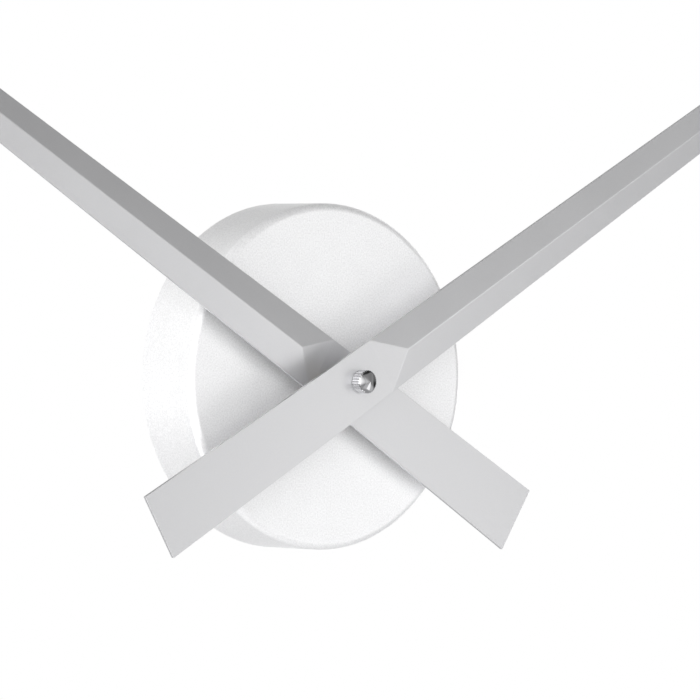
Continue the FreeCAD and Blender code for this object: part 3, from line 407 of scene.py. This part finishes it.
def copper_winding():
    finish = Finish("copper_winding", (0.72, 0.34, 0.17), metallic=1.0)
    half_wire = 0.06 * MM
    x = finish.parts(finish.place)[0]
    turn_relief_and_shade = finish.node("ShaderNodeMath", {"operation": "PINGPONG"}, {0: x, 1: half_wire}) / half_wire
    stain = finish.noise(1.5 * MM, 2.0)
    # colour darker where the turns meet and lighter over each turn's middle: painted shade between the
    # turns and a painted sheen on each turn; the same wave raises the turns in the bump
    finish.shade(0.70 + 0.25 * turn_relief_and_shade + 0.1 * stain)
    finish.set("Roughness", 0.25 + 0.1 * stain)
    finish.bump(turn_relief_and_shade, 0.04 * MM)
    return finish.material


def board_laminate():
    finish = Finish("board_laminate", (0.06, 0.26, 0.11), roughness=0.4, coat_weight=0.3)
    weave = finish.noise(0.4 * MM, 1.0, (1.0, 1.0, 3.0))
    finish.shade(0.85 + 0.3 * weave)
    finish.bump(weave, 0.01 * MM)
    return finish.material


def chip_resin():
    finish = Finish("chip_resin", (0.02, 0.02, 0.022))
    ripple = finish.noise(1.4 * MM, 2.0)
    finish.shade(0.8 + 0.4 * ripple)
    finish.set("Roughness", 0.12 + 0.1 * ripple)
    finish.bump(ripple, 0.05 * MM)
    return finish.material


def magnet_ferrite():
    finish = Finish("magnet_ferrite", (0.10, 0.10, 0.11), metallic=0.4)
    grain = finish.noise(0.25 * MM, 4.0)
    finish.shade(0.75 + 0.5 * grain)
    finish.set("Roughness", 0.5 + 0.2 * grain)
    finish.bump(grain, 0.03 * MM)
    return finish.material


def cell_jacket():
    """Dark foil jacket with a pale band round the positive end and bare metal ends."""
    finish = Finish("cell_jacket", (0.10, 0.12, 0.15))
    positive_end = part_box("battery")[1].x
    band_width, band_edge = 13.0 * MM, 0.1 * MM
    x = finish.parts(finish.place)[0]
    band = x.above(positive_end - band_width, band_edge)
    scuff = finish.noise(1.0 * MM, 4.0, (5.0, 1.0, 1.0))
    finish.paint(band, (0.55, 0.42, 0.20))
    finish.set("Metallic", 0.35 + 0.5 * band)
    finish.set("Roughness", 0.22 + 0.14 * scuff)
    finish.bump(scuff, 0.004 * MM)
    return finish.material


FINISHES = {
    "silver_housing": silver_lacquer(),
    "hand_metal": hand_metal(),
    "polished_chrome": polished_chrome(),
    "turned_brass": turned_brass(),
    "zinc_steel": zinc_steel(),
    "soft_iron": soft_iron(),
    "nickel_strip": nickel(),
    "black_case": grained_plastic("black_case", (0.022, 0.022, 0.024), 0.52),
    "knob_plastic": grained_plastic("knob_plastic", (0.06, 0.06, 0.063), 0.40, 0.3 * MM, 0.015 * MM),
    "white_gear": grained_plastic("white_gear", (0.82, 0.81, 0.76), 0.38, 0.25 * MM, 0.008 * MM),
    "black_rubber": black_rubber(),
    "copper_wire": copper_winding(),
    "board_laminate": board_laminate(),
    "chip_resin": chip_resin(),
    "magnet_ferrite": magnet_ferrite(),
    "cell_jacket": cell_jacket(),
}


def dress_cad_nodes():
    """Every CAD node gets the finish of its slot, also where a piece will replace it."""
    for part in frame["record"]["subparts"]:
        node = frame["nodes"][part["node"]]
        node.data.materials.clear()
        node.data.materials.append(FINISHES[part["material_slot"]])


def finished(piece, body, *nodes):
    """Give a piece its body and the finish of the first CAD node's slot, and hide the CAD nodes it
    replaces.
    """
    slots = {part["node"]: part["material_slot"] for part in frame["record"]["subparts"]}
    slot = slots[nodes[0]]
    piece.data.materials.clear()
    piece.data.materials.append(FINISHES[slot])
    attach(piece, body)
    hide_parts(*nodes)


# --------------------------------------------------------------------- pieces

SHEET = 1.2 * MM          # wall of the cup
EDGE = 2.8 * MM           # radius of the cup's front edge
RIM = 0.25 * MM           # chamfers of the cup's rear rim
BORE = 4.9 * MM           # holes round the threaded bush
HAND_SHEET = 1.1 * MM     # sheet of the hands
HIP = 10.5 * MM           # pivot to where the fold's end leaves the edges
RIDGE = 22.5 * MM         # pivot to the start of the ridge
RISE = 2.1 * MM           # height of the ridge at its start
BEND = 12.0 * MM          # pivot to where the tail leans back
LEAN = 2.4 * MM           # how far the tail's end leans back
FOLD = 0.35 * MM          # half width of the pressed folds
KNURLS = 28               # grooves round the cap nut and the knob
KNURL_DEPTH = 0.28 * MM
THREAD = 4.7 * MM         # radius of the bush's thread over its crests
PITCH = 0.75 * MM         # the thread's pitch
NUT_HOLE = 4.72 * MM      # hole of the fixing nut, round the thread
SLEEVES = {"hour": 4.2 * MM, "minute": 2.6 * MM}    # collets where they pass the hands


def make_cup():
    """Drawn cup with a rolled rim, bored where the shaft comes through its face."""
    low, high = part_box("housing_cup")
    axis = Vector((0.0, 0.0, (low.z + high.z) / 2))
    radius, front, rear = (high.x - low.x) / 2, low.y, high.y
    centre = radius - EDGE, front + EDGE
    rings = quarter(*centre, EDGE - SHEET, -90, 0, steps=8)
    rings += [(radius - SHEET, rear - RIM), (radius - SHEET + RIM, rear)]
    rings += [(radius - RIM, rear), (radius, rear - RIM)]
    rings += quarter(*centre, EDGE, 0, -90, steps=14)
    cup = turned("cup_drawn", rings, axis, segments=256)
    bore = turned("bore", [(BORE, front - MM), (BORE, front + 2 * SHEET)], segments=96)
    combine(cup, bore, "DIFFERENCE")
    soften(cup, 0.0)
    finished(cup, "clock_body", "housing_cup")


def hand_reach(node):
    """Tip as a vector from the shaft, tail length, and half widths at tip and tail."""
    corners = {(round(v.co.x, 6), round(v.co.z, 6)) for v in frame["nodes"][node].data.vertices}
    points = [Vector((x, 0.0, z)) for x, z in sorted(corners)]
    nearly_longest = 0.999 * max(point.length for point in points)
    ends = [point for point in points if point.length > nearly_longest]
    tip = sum(ends, Vector()) / len(ends)
    along = tip.normalized()
    across = Vector((along.z, 0.0, -along.x))
    tail = -min(point.dot(along) for point in points)
    tip_half = max(abs(point.dot(across)) for point in ends)
    tail_half = max(abs(p.dot(across)) for p in points if p.dot(along) < SAME - tail)
    return tip, tail, tip_half, tail_half


def make_hand(label, body):
    """Folded sheet hand, drawn at twelve with its front to -y and then turned."""
    node = label + "_hand"
    tip, tail, tip_half, tail_half = hand_reach(node)
    taper = (tail_half - tip_half) / (tip.length + tail)
    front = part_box(label + "_collet")[0].y

    def half(along):
        return tip_half + taper * (tip.length - along)

    middle = (0, front, (HIP - BEND) / 2)
    hand = start(label + "_sheet", bpy.ops.mesh.primitive_plane_add, size=HIP + BEND,
                 location=middle, rotation=(math.radians(90), 0, 0))
    bpy.ops.transform.resize(value=(2 * half(0) / (HIP + BEND), 1, 1), center_override=middle)

    def row(level):
        pick(hand, "EDGE", lambda edge: all(abs(v.co.z - level) < IN_LINE for v in edge.verts))

    def pull(level, target, back=0.0):
        row(level)
        bpy.ops.mesh.extrude_edges_move(TRANSFORM_OT_translate={"value": (0, back, target - level)})
        share = half(target) / half(level)
        bpy.ops.transform.resize(value=(share, 1, 1), center_override=(0, front, target))

    def on_middle(v):
        return abs(v.co.x) < IN_LINE and v.co.z > HIP

    for level in (HIP, -BEND):
        row(level)
        share = half(level) / half(0)
        bpy.ops.transform.resize(value=(share, 1, 1), center_override=(0, front, level))
    pull(HIP, tip.length)
    pull(-BEND, -tail, LEAN)
    # the blade: a point for the start of the ridge, and the ridge from it to the tip
    pick(hand, "FACE", lambda face: face.calc_center_median().z > HIP)
    bpy.ops.mesh.poke()
    pick(hand, "VERT", on_middle)
    spot = middle_of_picked(hand)
    bpy.ops.transform.translate(value=Vector((0, front - RISE, RIDGE)) - spot)
    row(tip.length)
    bpy.ops.mesh.subdivide(number_cuts=1)
    pick(hand, "VERT", lambda v: on_middle(v) and v.co.z > tip.length - MM)
    bpy.ops.transform.translate(value=(0, -RISE * half(tip.length) / half(RIDGE), 0))
    pick(hand, "VERT", on_middle)
    bpy.ops.mesh.vert_connect_path()
    flat = 0.01
    pick(hand, "EDGE", lambda e: not e.is_boundary and e.calc_face_angle() < flat)
    bpy.ops.mesh.dissolve_edges(use_verts=False)
    close(hand, clean=False)
    modify(hand, "SOLIDIFY", thickness=HAND_SHEET, offset=-1.0, use_even_offset=True)
    # the folds are pressed over small radii, and turn less than the sheet's own edges do
    least, most = 0.02, 1.0
    select_only(hand)
    bpy.ops.object.mode_set(mode="EDIT")
    pick(hand, "EDGE", lambda e: least < e.calc_face_angle() < most)
    bpy.ops.mesh.bevel(offset=FOLD, segments=4)
    bpy.ops.object.mode_set(mode="OBJECT")
    bore = turned("bore", [(SLEEVES[label], front - 3 * MM), (SLEEVES[label], front + 3 * MM)],
                  segments=96)
    combine(hand, bore, "DIFFERENCE")
    soften(hand, 0.16 * MM, segments=3, angle=35)
    hand.rotation_euler = (0, math.atan2(tip.x, tip.z), 0)
    select_only(hand)
    bpy.ops.object.transform_apply(location=False, rotation=True, scale=False)
    finished(hand, body, node)


def groove_side(piece, axis, radius):
    """Knurl: every fourth column of points on a round side goes in."""
    columns = 4 * KNURLS

    def in_groove(v):
        spot = v.co - axis
        angle = math.atan2(spot.z, spot.x) / (2 * math.pi) * columns
        on_side = abs(math.hypot(spot.x, spot.z) - radius) < 2 * IN_LINE
        return on_side and round(angle) % 4 == 0

    pick(piece, "VERT", in_groove)
    share = 1 - KNURL_DEPTH / radius
    bpy.ops.transform.resize(value=(share, 1, share), center_override=axis)


def knurled(name, node, rings):
    """A turned piece with a knurled side between two plain chamfers."""
    low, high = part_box(node)
    axis = Vector(((low.x + high.x) / 2, 0.0, (low.z + high.z) / 2))
    piece = turned(name, rings, axis, segments=4 * KNURLS)
    select_only(piece)
    bpy.ops.object.mode_set(mode="EDIT")
    groove_side(piece, axis, (high.x - low.x) / 2)
    close(piece)
    soften(piece, 0.0, angle=24)
    return piece


def make_cap_nut():
    """Knurled chrome nut: chamfers at both ends of the side and a shallow cone in front."""
    low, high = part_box("cap_nut")
    radius, back, front = (high.x - low.x) / 2, high.y, low.y
    bore, point, step = 1.77 * MM, 0.06 * MM, 0.15 * MM
    shoulder, chamfer = back - 4.2 * MM, 0.35 * MM
    nut = knurled("cap_nut_turned", "cap_nut", [
        (bore, back), (radius - chamfer, back), (radius, back - chamfer),
        (radius, shoulder + chamfer), (radius - chamfer, shoulder),
        (radius - 2 * chamfer, shoulder - step), (point, front),
    ])
    finished(nut, "minute_group", "cap_nut")


def make_knob():
    """Setting knob: knurled side and a dished back."""
    low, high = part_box("setting_knob")
    radius, chamfer, dish = (high.x - low.x) / 2, 0.3 * MM, 0.8 * MM
    back, front, point = high.y, low.y, 0.05 * MM
    rim_top, rim_foot = 1.3 * MM, 1.6 * MM
    knob = knurled("knob_moulded", "setting_knob", [
        (point, front), (radius - chamfer, front), (radius, front + chamfer),
        (radius, back - chamfer), (radius - chamfer, back), (radius - rim_top, back),
        (radius - rim_foot, back - dish), (point, back - dish),
    ])
    finished(knob, "setting_gear", "setting_knob")


def hexagon(name, node):
    """Hexagon nut with the turned chamfers that cut its corners to arcs."""
    low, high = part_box(node)
    flats = min(high.x - low.x, high.z - low.z) / 2
    corner = flats / math.cos(math.radians(30))
    upright = (high.z - low.z) > (high.x - low.x)
    block = start(name, bpy.ops.mesh.primitive_cylinder_add, vertices=6, radius=corner,
                  depth=high.y - low.y, location=(0, (low.y + high.y) / 2, 0),
                  rotation=(math.radians(90), 0 if upright else math.radians(30), 0))
    close(block)
    ring, drop = flats * 0.96, 0.45 * MM
    cone = turned("cone", [
        (ring, low.y), (corner, low.y + drop), (corner, high.y - drop), (ring, high.y),
    ], segments=96)
    combine(block, cone, "INTERSECT")
    hole = turned("hole", [(NUT_HOLE, low.y - MM), (NUT_HOLE, high.y + MM)], segments=96)
    combine(block, hole, "DIFFERENCE")
    soften(block, 0.0, angle=25)
    return block


def make_mounting():
    """Bush with its thread, washer and nut in front of the face."""
    low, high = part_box("threaded_bush")
    bore, lead, depth = 2.8 * MM, 0.15 * MM, 0.3 * MM
    root = THREAD - depth
    # the thread stops six turns behind the cup's front, or at the case
    end = min(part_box("housing_cup")[0].y + 6 * PITCH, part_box("case_front")[0].y)
    rings = [(bore, low.y), (root, low.y)]
    level = low.y + lead
    while level + PITCH < end:
        rings += [(root, level), (THREAD, level + 0.4 * PITCH), (THREAD, level + 0.55 * PITCH)]
        level += PITCH
    rings += [(root, level), (root, high.y), (bore, high.y), (bore, low.y)]
    bush = turned("bush_turned", rings, segments=96)
    soften(bush, 0.0, angle=25)
    finished(bush, "clock_body", "threaded_bush")

    low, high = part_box("front_washer")
    radius, chamfer = (high.x - low.x) / 2, 0.12 * MM
    washer = turned("washer_turned", [
        (BORE, high.y), (radius, high.y), (radius, low.y + chamfer),
        (radius - chamfer, low.y), (BORE, low.y), (BORE, high.y),
    ], segments=128)
    soften(washer, 0.0, angle=25)
    finished(washer, "clock_body", "front_washer")
    finished(hexagon("nut_turned", "fixing_nut"), "clock_body", "fixing_nut")


def make_collets():
    """Turned collets: a sleeve through the hand and a flange behind it, each with small chamfers."""
    bores = {"hour": 2.76 * MM, "minute": 1.76 * MM}
    bodies = {"hour": "hour_group", "minute": "minute_group"}
    for label, bore in bores.items():
        low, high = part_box(label + "_collet")
        clearance, chamfer, flange_depth = 0.01 * MM, 0.15 * MM, MM
        sleeve, flange = SLEEVES[label] - clearance, (high.x - low.x) / 2
        behind = low.y + HAND_SHEET
        flange_back = behind + flange_depth
        rings = [
            (bore, low.y), (sleeve - chamfer, low.y), (sleeve, low.y + chamfer), (sleeve, behind),
            (flange - chamfer, behind), (flange, behind + chamfer), (flange, flange_back - chamfer),
            (flange - chamfer, flange_back), (sleeve, flange_back), (sleeve, high.y - chamfer),
            (sleeve - chamfer, high.y), (bore, high.y), (bore, low.y),
        ]
        collet = turned(label + "_collet_turned", rings, segments=96)
        soften(collet, 0.0, angle=25)
        finished(collet, bodies[label], label + "_collet")


def make_battery():
    """Cell along x: rolled jacket edges, an insulating ring, contact button and bare ends."""
    low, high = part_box("battery")
    axis = (low + high) / 2
    radius, button, button_height = (high.z - low.z) / 2, 2.75 * MM, MM
    shoulder = high.x - button_height
    roll, lip, point = 0.5 * MM, 0.15 * MM, 0.05 * MM
    plate, plate_edge = 4.6 * MM, 4.9 * MM          # sunk plate of the negative end
    ring_edge, ring_foot = 1.6 * MM, 1.8 * MM       # where the insulating ring starts
    rings = [(point, low.x + lip), (plate, low.x + lip), (plate_edge, low.x)]
    rings += [(radius - roll, low.x), (radius - lip, low.x + lip), (radius, low.x + roll)]
    rings += [(radius, shoulder - roll), (radius - lip, shoulder - lip), (radius - roll, shoulder)]
    rings += [(radius - ring_edge, shoulder), (radius - ring_foot, shoulder - 2 * lip)]
    rings += [(button + roll, shoulder - 2 * lip), (button, shoulder - lip)]
    rings += [(button, high.x - lip), (button - lip, high.x), (point, high.x)]
    cell = turned("cell_turned", rings, axis, "X", 128)
    soften(cell, 0.0)
    finished(cell, "cell", "battery")
    cell.data.materials.append(FINISHES["nickel_strip"])
    for face in cell.data.polygons:
        off_axis = math.hypot(face.center.y - axis.y, face.center.z - axis.z)
        at_an_end = face.center.x < low.x + roll or face.center.x > shoulder - roll
        if at_an_end and off_axis < radius - roll:
            face.material_index = 1


def turn_mark(centre, face):
    """Raised three-quarter ring round the knob with an arrow head at each end."""
    inner, outer, proud, sunk = 6.2 * MM, 6.8 * MM, 0.2 * MM, 0.1 * MM
    gap, reach = 5.2 * MM, 9 * MM           # half the opening's width, and how far it is cut
    arrow, tilt = 1.5 * MM, 25              # radius of the arrow heads, and their turn in degrees
    arrow_out, arrow_down = 5.4 * MM, 0.3 * MM
    mark = turned("turn_mark", [
        (inner, face - sunk), (outer, face - sunk), (outer, face + proud), (inner, face + proud),
        (inner, face - sunk),
    ], centre, segments=96)
    opening = tool_block((centre.x - gap, face - MM, centre.z - reach),
                         (centre.x + gap, face + MM, centre.z))
    combine(mark, opening, "DIFFERENCE")
    ends = math.sqrt(((inner + outer) / 2) ** 2 - gap ** 2)
    for side in (-1, 1):
        head = start("arrow_head", bpy.ops.mesh.primitive_cylinder_add, vertices=3,
                     radius=arrow, depth=proud + sunk,
                     location=(centre.x + side * arrow_out, face + (proud - sunk) / 2,
                               centre.z - ends - arrow_down),
                     rotation=(math.radians(90), math.radians(90 + side * tilt), 0))
        combine(mark, close(head), "UNION")
    return mark


def snap_hook(side, height, split):
    """Strap of the front shell with a window, and the rear shell's catch that fills it."""
    inner = side * (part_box("case_back")[1].x - 0.05 * MM)    # a little inside the wall
    outer = inner + side * 0.95 * MM
    catch = inner + side * 0.75 * MM
    beyond = outer + side * MM
    edge = 0.12 * MM

    def block(to_x, low_y, high_y, half):
        xs = sorted((inner, to_x))
        return tool_block((xs[0], split + low_y, height - half), (xs[1], split + high_y, height + half))

    strap = block(outer, -3 * MM, 5 * MM, 3 * MM)
    window = block(beyond, 1.4 * MM, 3.7 * MM, 1.8 * MM)
    combine(strap, window, "DIFFERENCE")
    soften(strap, edge)
    nose = block(catch, 1.5 * MM, 3.6 * MM, 1.7 * MM)
    soften(nose, edge)
    return strap, nose


def make_case():
    """The movement's two shells with a sunk panel, polarity marks, turn mark and snap hooks."""
    front = cad_copy("case_front", "case_front_moulded")
    back = cad_copy("case_back", "case_back_moulded")
    low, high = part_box("case_back")
    cell_low, cell_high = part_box("battery")
    knob_low, knob_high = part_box("setting_knob")
    face, proud = high.y, 0.2 * MM
    margin, sunk, edge = 4 * MM, 0.25 * MM, 0.12 * MM
    panel = tool_block((-5 * MM, face - sunk, -3.5 * MM), (high.x - margin, face + MM, high.z - margin))
    combine(back, panel, "DIFFERENCE")
    soften(back, edge, angle=40)
    soften(front, edge, angle=40)
    parts = [turn_mark((knob_low + knob_high) / 2, face)]
    # a minus has the level bar only, and a plus the upright one too
    mark_z, long, slim = cell_high.z + 4.2 * MM, 1.5 * MM, 0.3 * MM
    for mark_x, bars in ((cell_low.x + margin, 1), (cell_high.x - margin, 2)):
        for half_x, half_z in ((long, slim), (slim, long))[:bars]:
            parts.append(tool_block((mark_x - half_x, face - proud, mark_z - half_z),
                                    (mark_x + half_x, face + proud, mark_z + half_z)))
    hook_height = 15 * MM
    for side in (-1, 1):
        for height in (-hook_height, hook_height):
            strap, nose = snap_hook(side, height, low.y)
            combine(front, strap, "UNION")
            parts.append(nose)
    for part in parts:
        combine(back, part, "UNION")
    for shell, node in ((front, "case_front"), (back, "case_back")):
        soften(shell, 0.0, angle=40)
        finished(shell, "clock_body", node)


def make_bracket():
    """Hanger bracket with its pressed edges broken."""
    bracket = cad_copy("hanger_bracket", "bracket_pressed")
    soften(bracket, 0.12 * MM, angle=40)
    finished(bracket, "clock_body", "hanger_bracket")


# ---------------------------------------------------------------------- stage

def make_floor():
    """Pale floor under the clock, fading out before its edge."""
    finish = Finish("pale_floor", (0.80, 0.80, 0.81), roughness=0.7)
    radius, drop = 4.0, 0.7
    fade_middle, fade_width = 0.7, 0.5      # as shares of the radius
    far = finish.node("ShaderNodeVectorMath", {"operation": "LENGTH"}, {0: finish.place}, "Value")
    fade = (far / radius).above(fade_middle, fade_width)
    clear = finish.node("ShaderNodeBsdfTransparent", {}, {})
    surface = Value(finish, finish.shader.outputs[0])
    mixed = finish.node("ShaderNodeMixShader", {}, {0: fade, 1: surface, 2: clear})
    finish.feed(finish.tree.nodes["Material Output"], "Surface", mixed)
    floor = start("floor", bpy.ops.mesh.primitive_circle_add, vertices=96, radius=radius,
                  fill_type="NGON", location=(0, 0, cad_box[0].z - drop))
    close(floor)
    floor.data.materials.append(finish.material)


# directions that soft light comes from, with the brightness there; a camera ray sees plain white
GLOWS = (
    ((-0.50, -0.87, 0.00), 3.7),      # window, front left
    ((-0.56, -0.56, 0.62), 0.75),     # window's top
    ((0.00, -0.09, -1.00), 5.7),      # white table underneath
    ((0.87, 0.50, 0.00), 2.1),        # backdrop, right
    ((0.56, 0.56, -0.62), 1.9),       # sweep, right
    ((-0.56, 0.56, -0.62), 2.5),      # sweep, left
    ((-0.56, 0.56, 0.62), 1.7),       # backdrop, top left
)
FOCUS = 7.0                           # how fast a glow falls off around its direction

# narrow dark gaps between the studio's panels, which polished metal mirrors
GAPS = ((0.22, -0.83, 0.50), (0.06, -0.92, -0.39), (0.97, -0.20, -0.12))
GAP_FOCUS = 45.0
GAP_DEPTH = 0.95

FRONT_RIGHT = (0.615, -0.788, 0.0)    # where the flat parts mirror the camera
LOW_LEFT = (-0.73, -0.17, -0.66)      # out from the housing's lower left side


def make_surroundings():
    """White studio with soft glows from the front left, from below and from all sides behind."""
    world = bpy.data.worlds.new("studio")
    bpy.context.scene.world = world
    world.use_nodes = True
    nodes = Nodes(world.node_tree)
    toward = nodes.node("ShaderNodeTexCoord", {}, {}, "Generated")

    def lobe(source, focus):
        """1 towards source, falling to nothing around it."""
        near = nodes.node("ShaderNodeVectorMath", {"operation": "DOT_PRODUCT"},
                          {0: toward, 1: Vector(source).normalized()}, "Value")
        return nodes.node("ShaderNodeMath", {"operation": "EXPONENT"}, {0: focus * (near - 1.0)})

    light = 0.0
    for source, brightness in GLOWS:
        light = light + brightness * lobe(source, FOCUS)
    for source in GAPS:
        light = light * (1.0 - GAP_DEPTH * lobe(source, GAP_FOCUS))
    shown = nodes.node("ShaderNodeLightPath", {}, {}, "Is Camera Ray")
    background = world.node_tree.nodes["Background"]
    nodes.feed(background, "Color", (1.0, 1.0, 1.0, 1.0))
    nodes.feed(background, "Strength", shown + (1.0 - shown) * light)


def softbox(name, source, distance, width, height, brightness, drop=0.0):
    """Area light out in the direction of source, square to it, and then lowered by drop."""
    light = bpy.data.lights.new(name, "AREA")
    light.shape = "RECTANGLE"
    light.size, light.size_y = width, height
    light.energy = math.pi * width * height * brightness
    lamp = bpy.data.objects.new(name, light)
    bpy.context.scene.collection.objects.link(lamp)
    source = Vector(source).normalized()
    lamp.location = source * distance - Vector((0.0, 0.0, drop))
    lamp.rotation_euler = source.to_track_quat("Z", "Y").to_euler()
    lamp.visible_camera = False


def make_camera():
    """Seen from the left at the height of the housing, rolled by less than a degree."""
    azimuth, elevation = math.radians(37.95), math.radians(0.28)
    distance, roll = 2.4, math.radians(0.90)
    aim_right, aim_up = 24.6, 9.3      # millimetres beside and above the housing's middle
    low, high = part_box("housing_cup")
    middle = Vector((0.0, 0.0, (low.z + high.z) / 2))
    back = Vector((-math.sin(azimuth) * math.cos(elevation),
                   -math.cos(azimuth) * math.cos(elevation), math.sin(elevation)))
    right = Vector((math.cos(azimuth), -math.sin(azimuth), 0.0))
    target = middle + right * aim_right * MM + Vector((0.0, 0.0, aim_up * MM))
    camera = bpy.data.cameras.new("camera")
    camera.lens, camera.sensor_width = 353.45, 36.0
    camera.clip_start, camera.clip_end = 0.05, 50.0
    view = bpy.data.objects.new("camera", camera)
    bpy.context.scene.collection.objects.link(view)
    view.location = middle + back * distance
    look = (target - view.location).to_track_quat("-Z", "Y").to_matrix()
    view.rotation_euler = (look @ Matrix.Rotation(roll, 3, "Z")).to_euler()
    bpy.context.scene.camera = view


dress_cad_nodes()
make_cup()
make_hand("hour", "hour_group")
make_hand("minute", "minute_group")
make_cap_nut()
make_knob()
make_mounting()
make_collets()
make_battery()
make_case()
make_bracket()
make_floor()
make_surroundings()
softbox("large_softbox", FRONT_RIGHT, distance=0.80, width=0.90, height=0.90, brightness=0.30)
softbox("strip_softbox", FRONT_RIGHT, distance=0.75, width=0.28, height=0.56, brightness=0.97, drop=0.14)
softbox("low_softbox", LOW_LEFT, distance=0.70, width=0.60, height=0.60, brightness=1.9)
make_camera()
bpy.context.scene.view_settings.view_transform = "Standard"
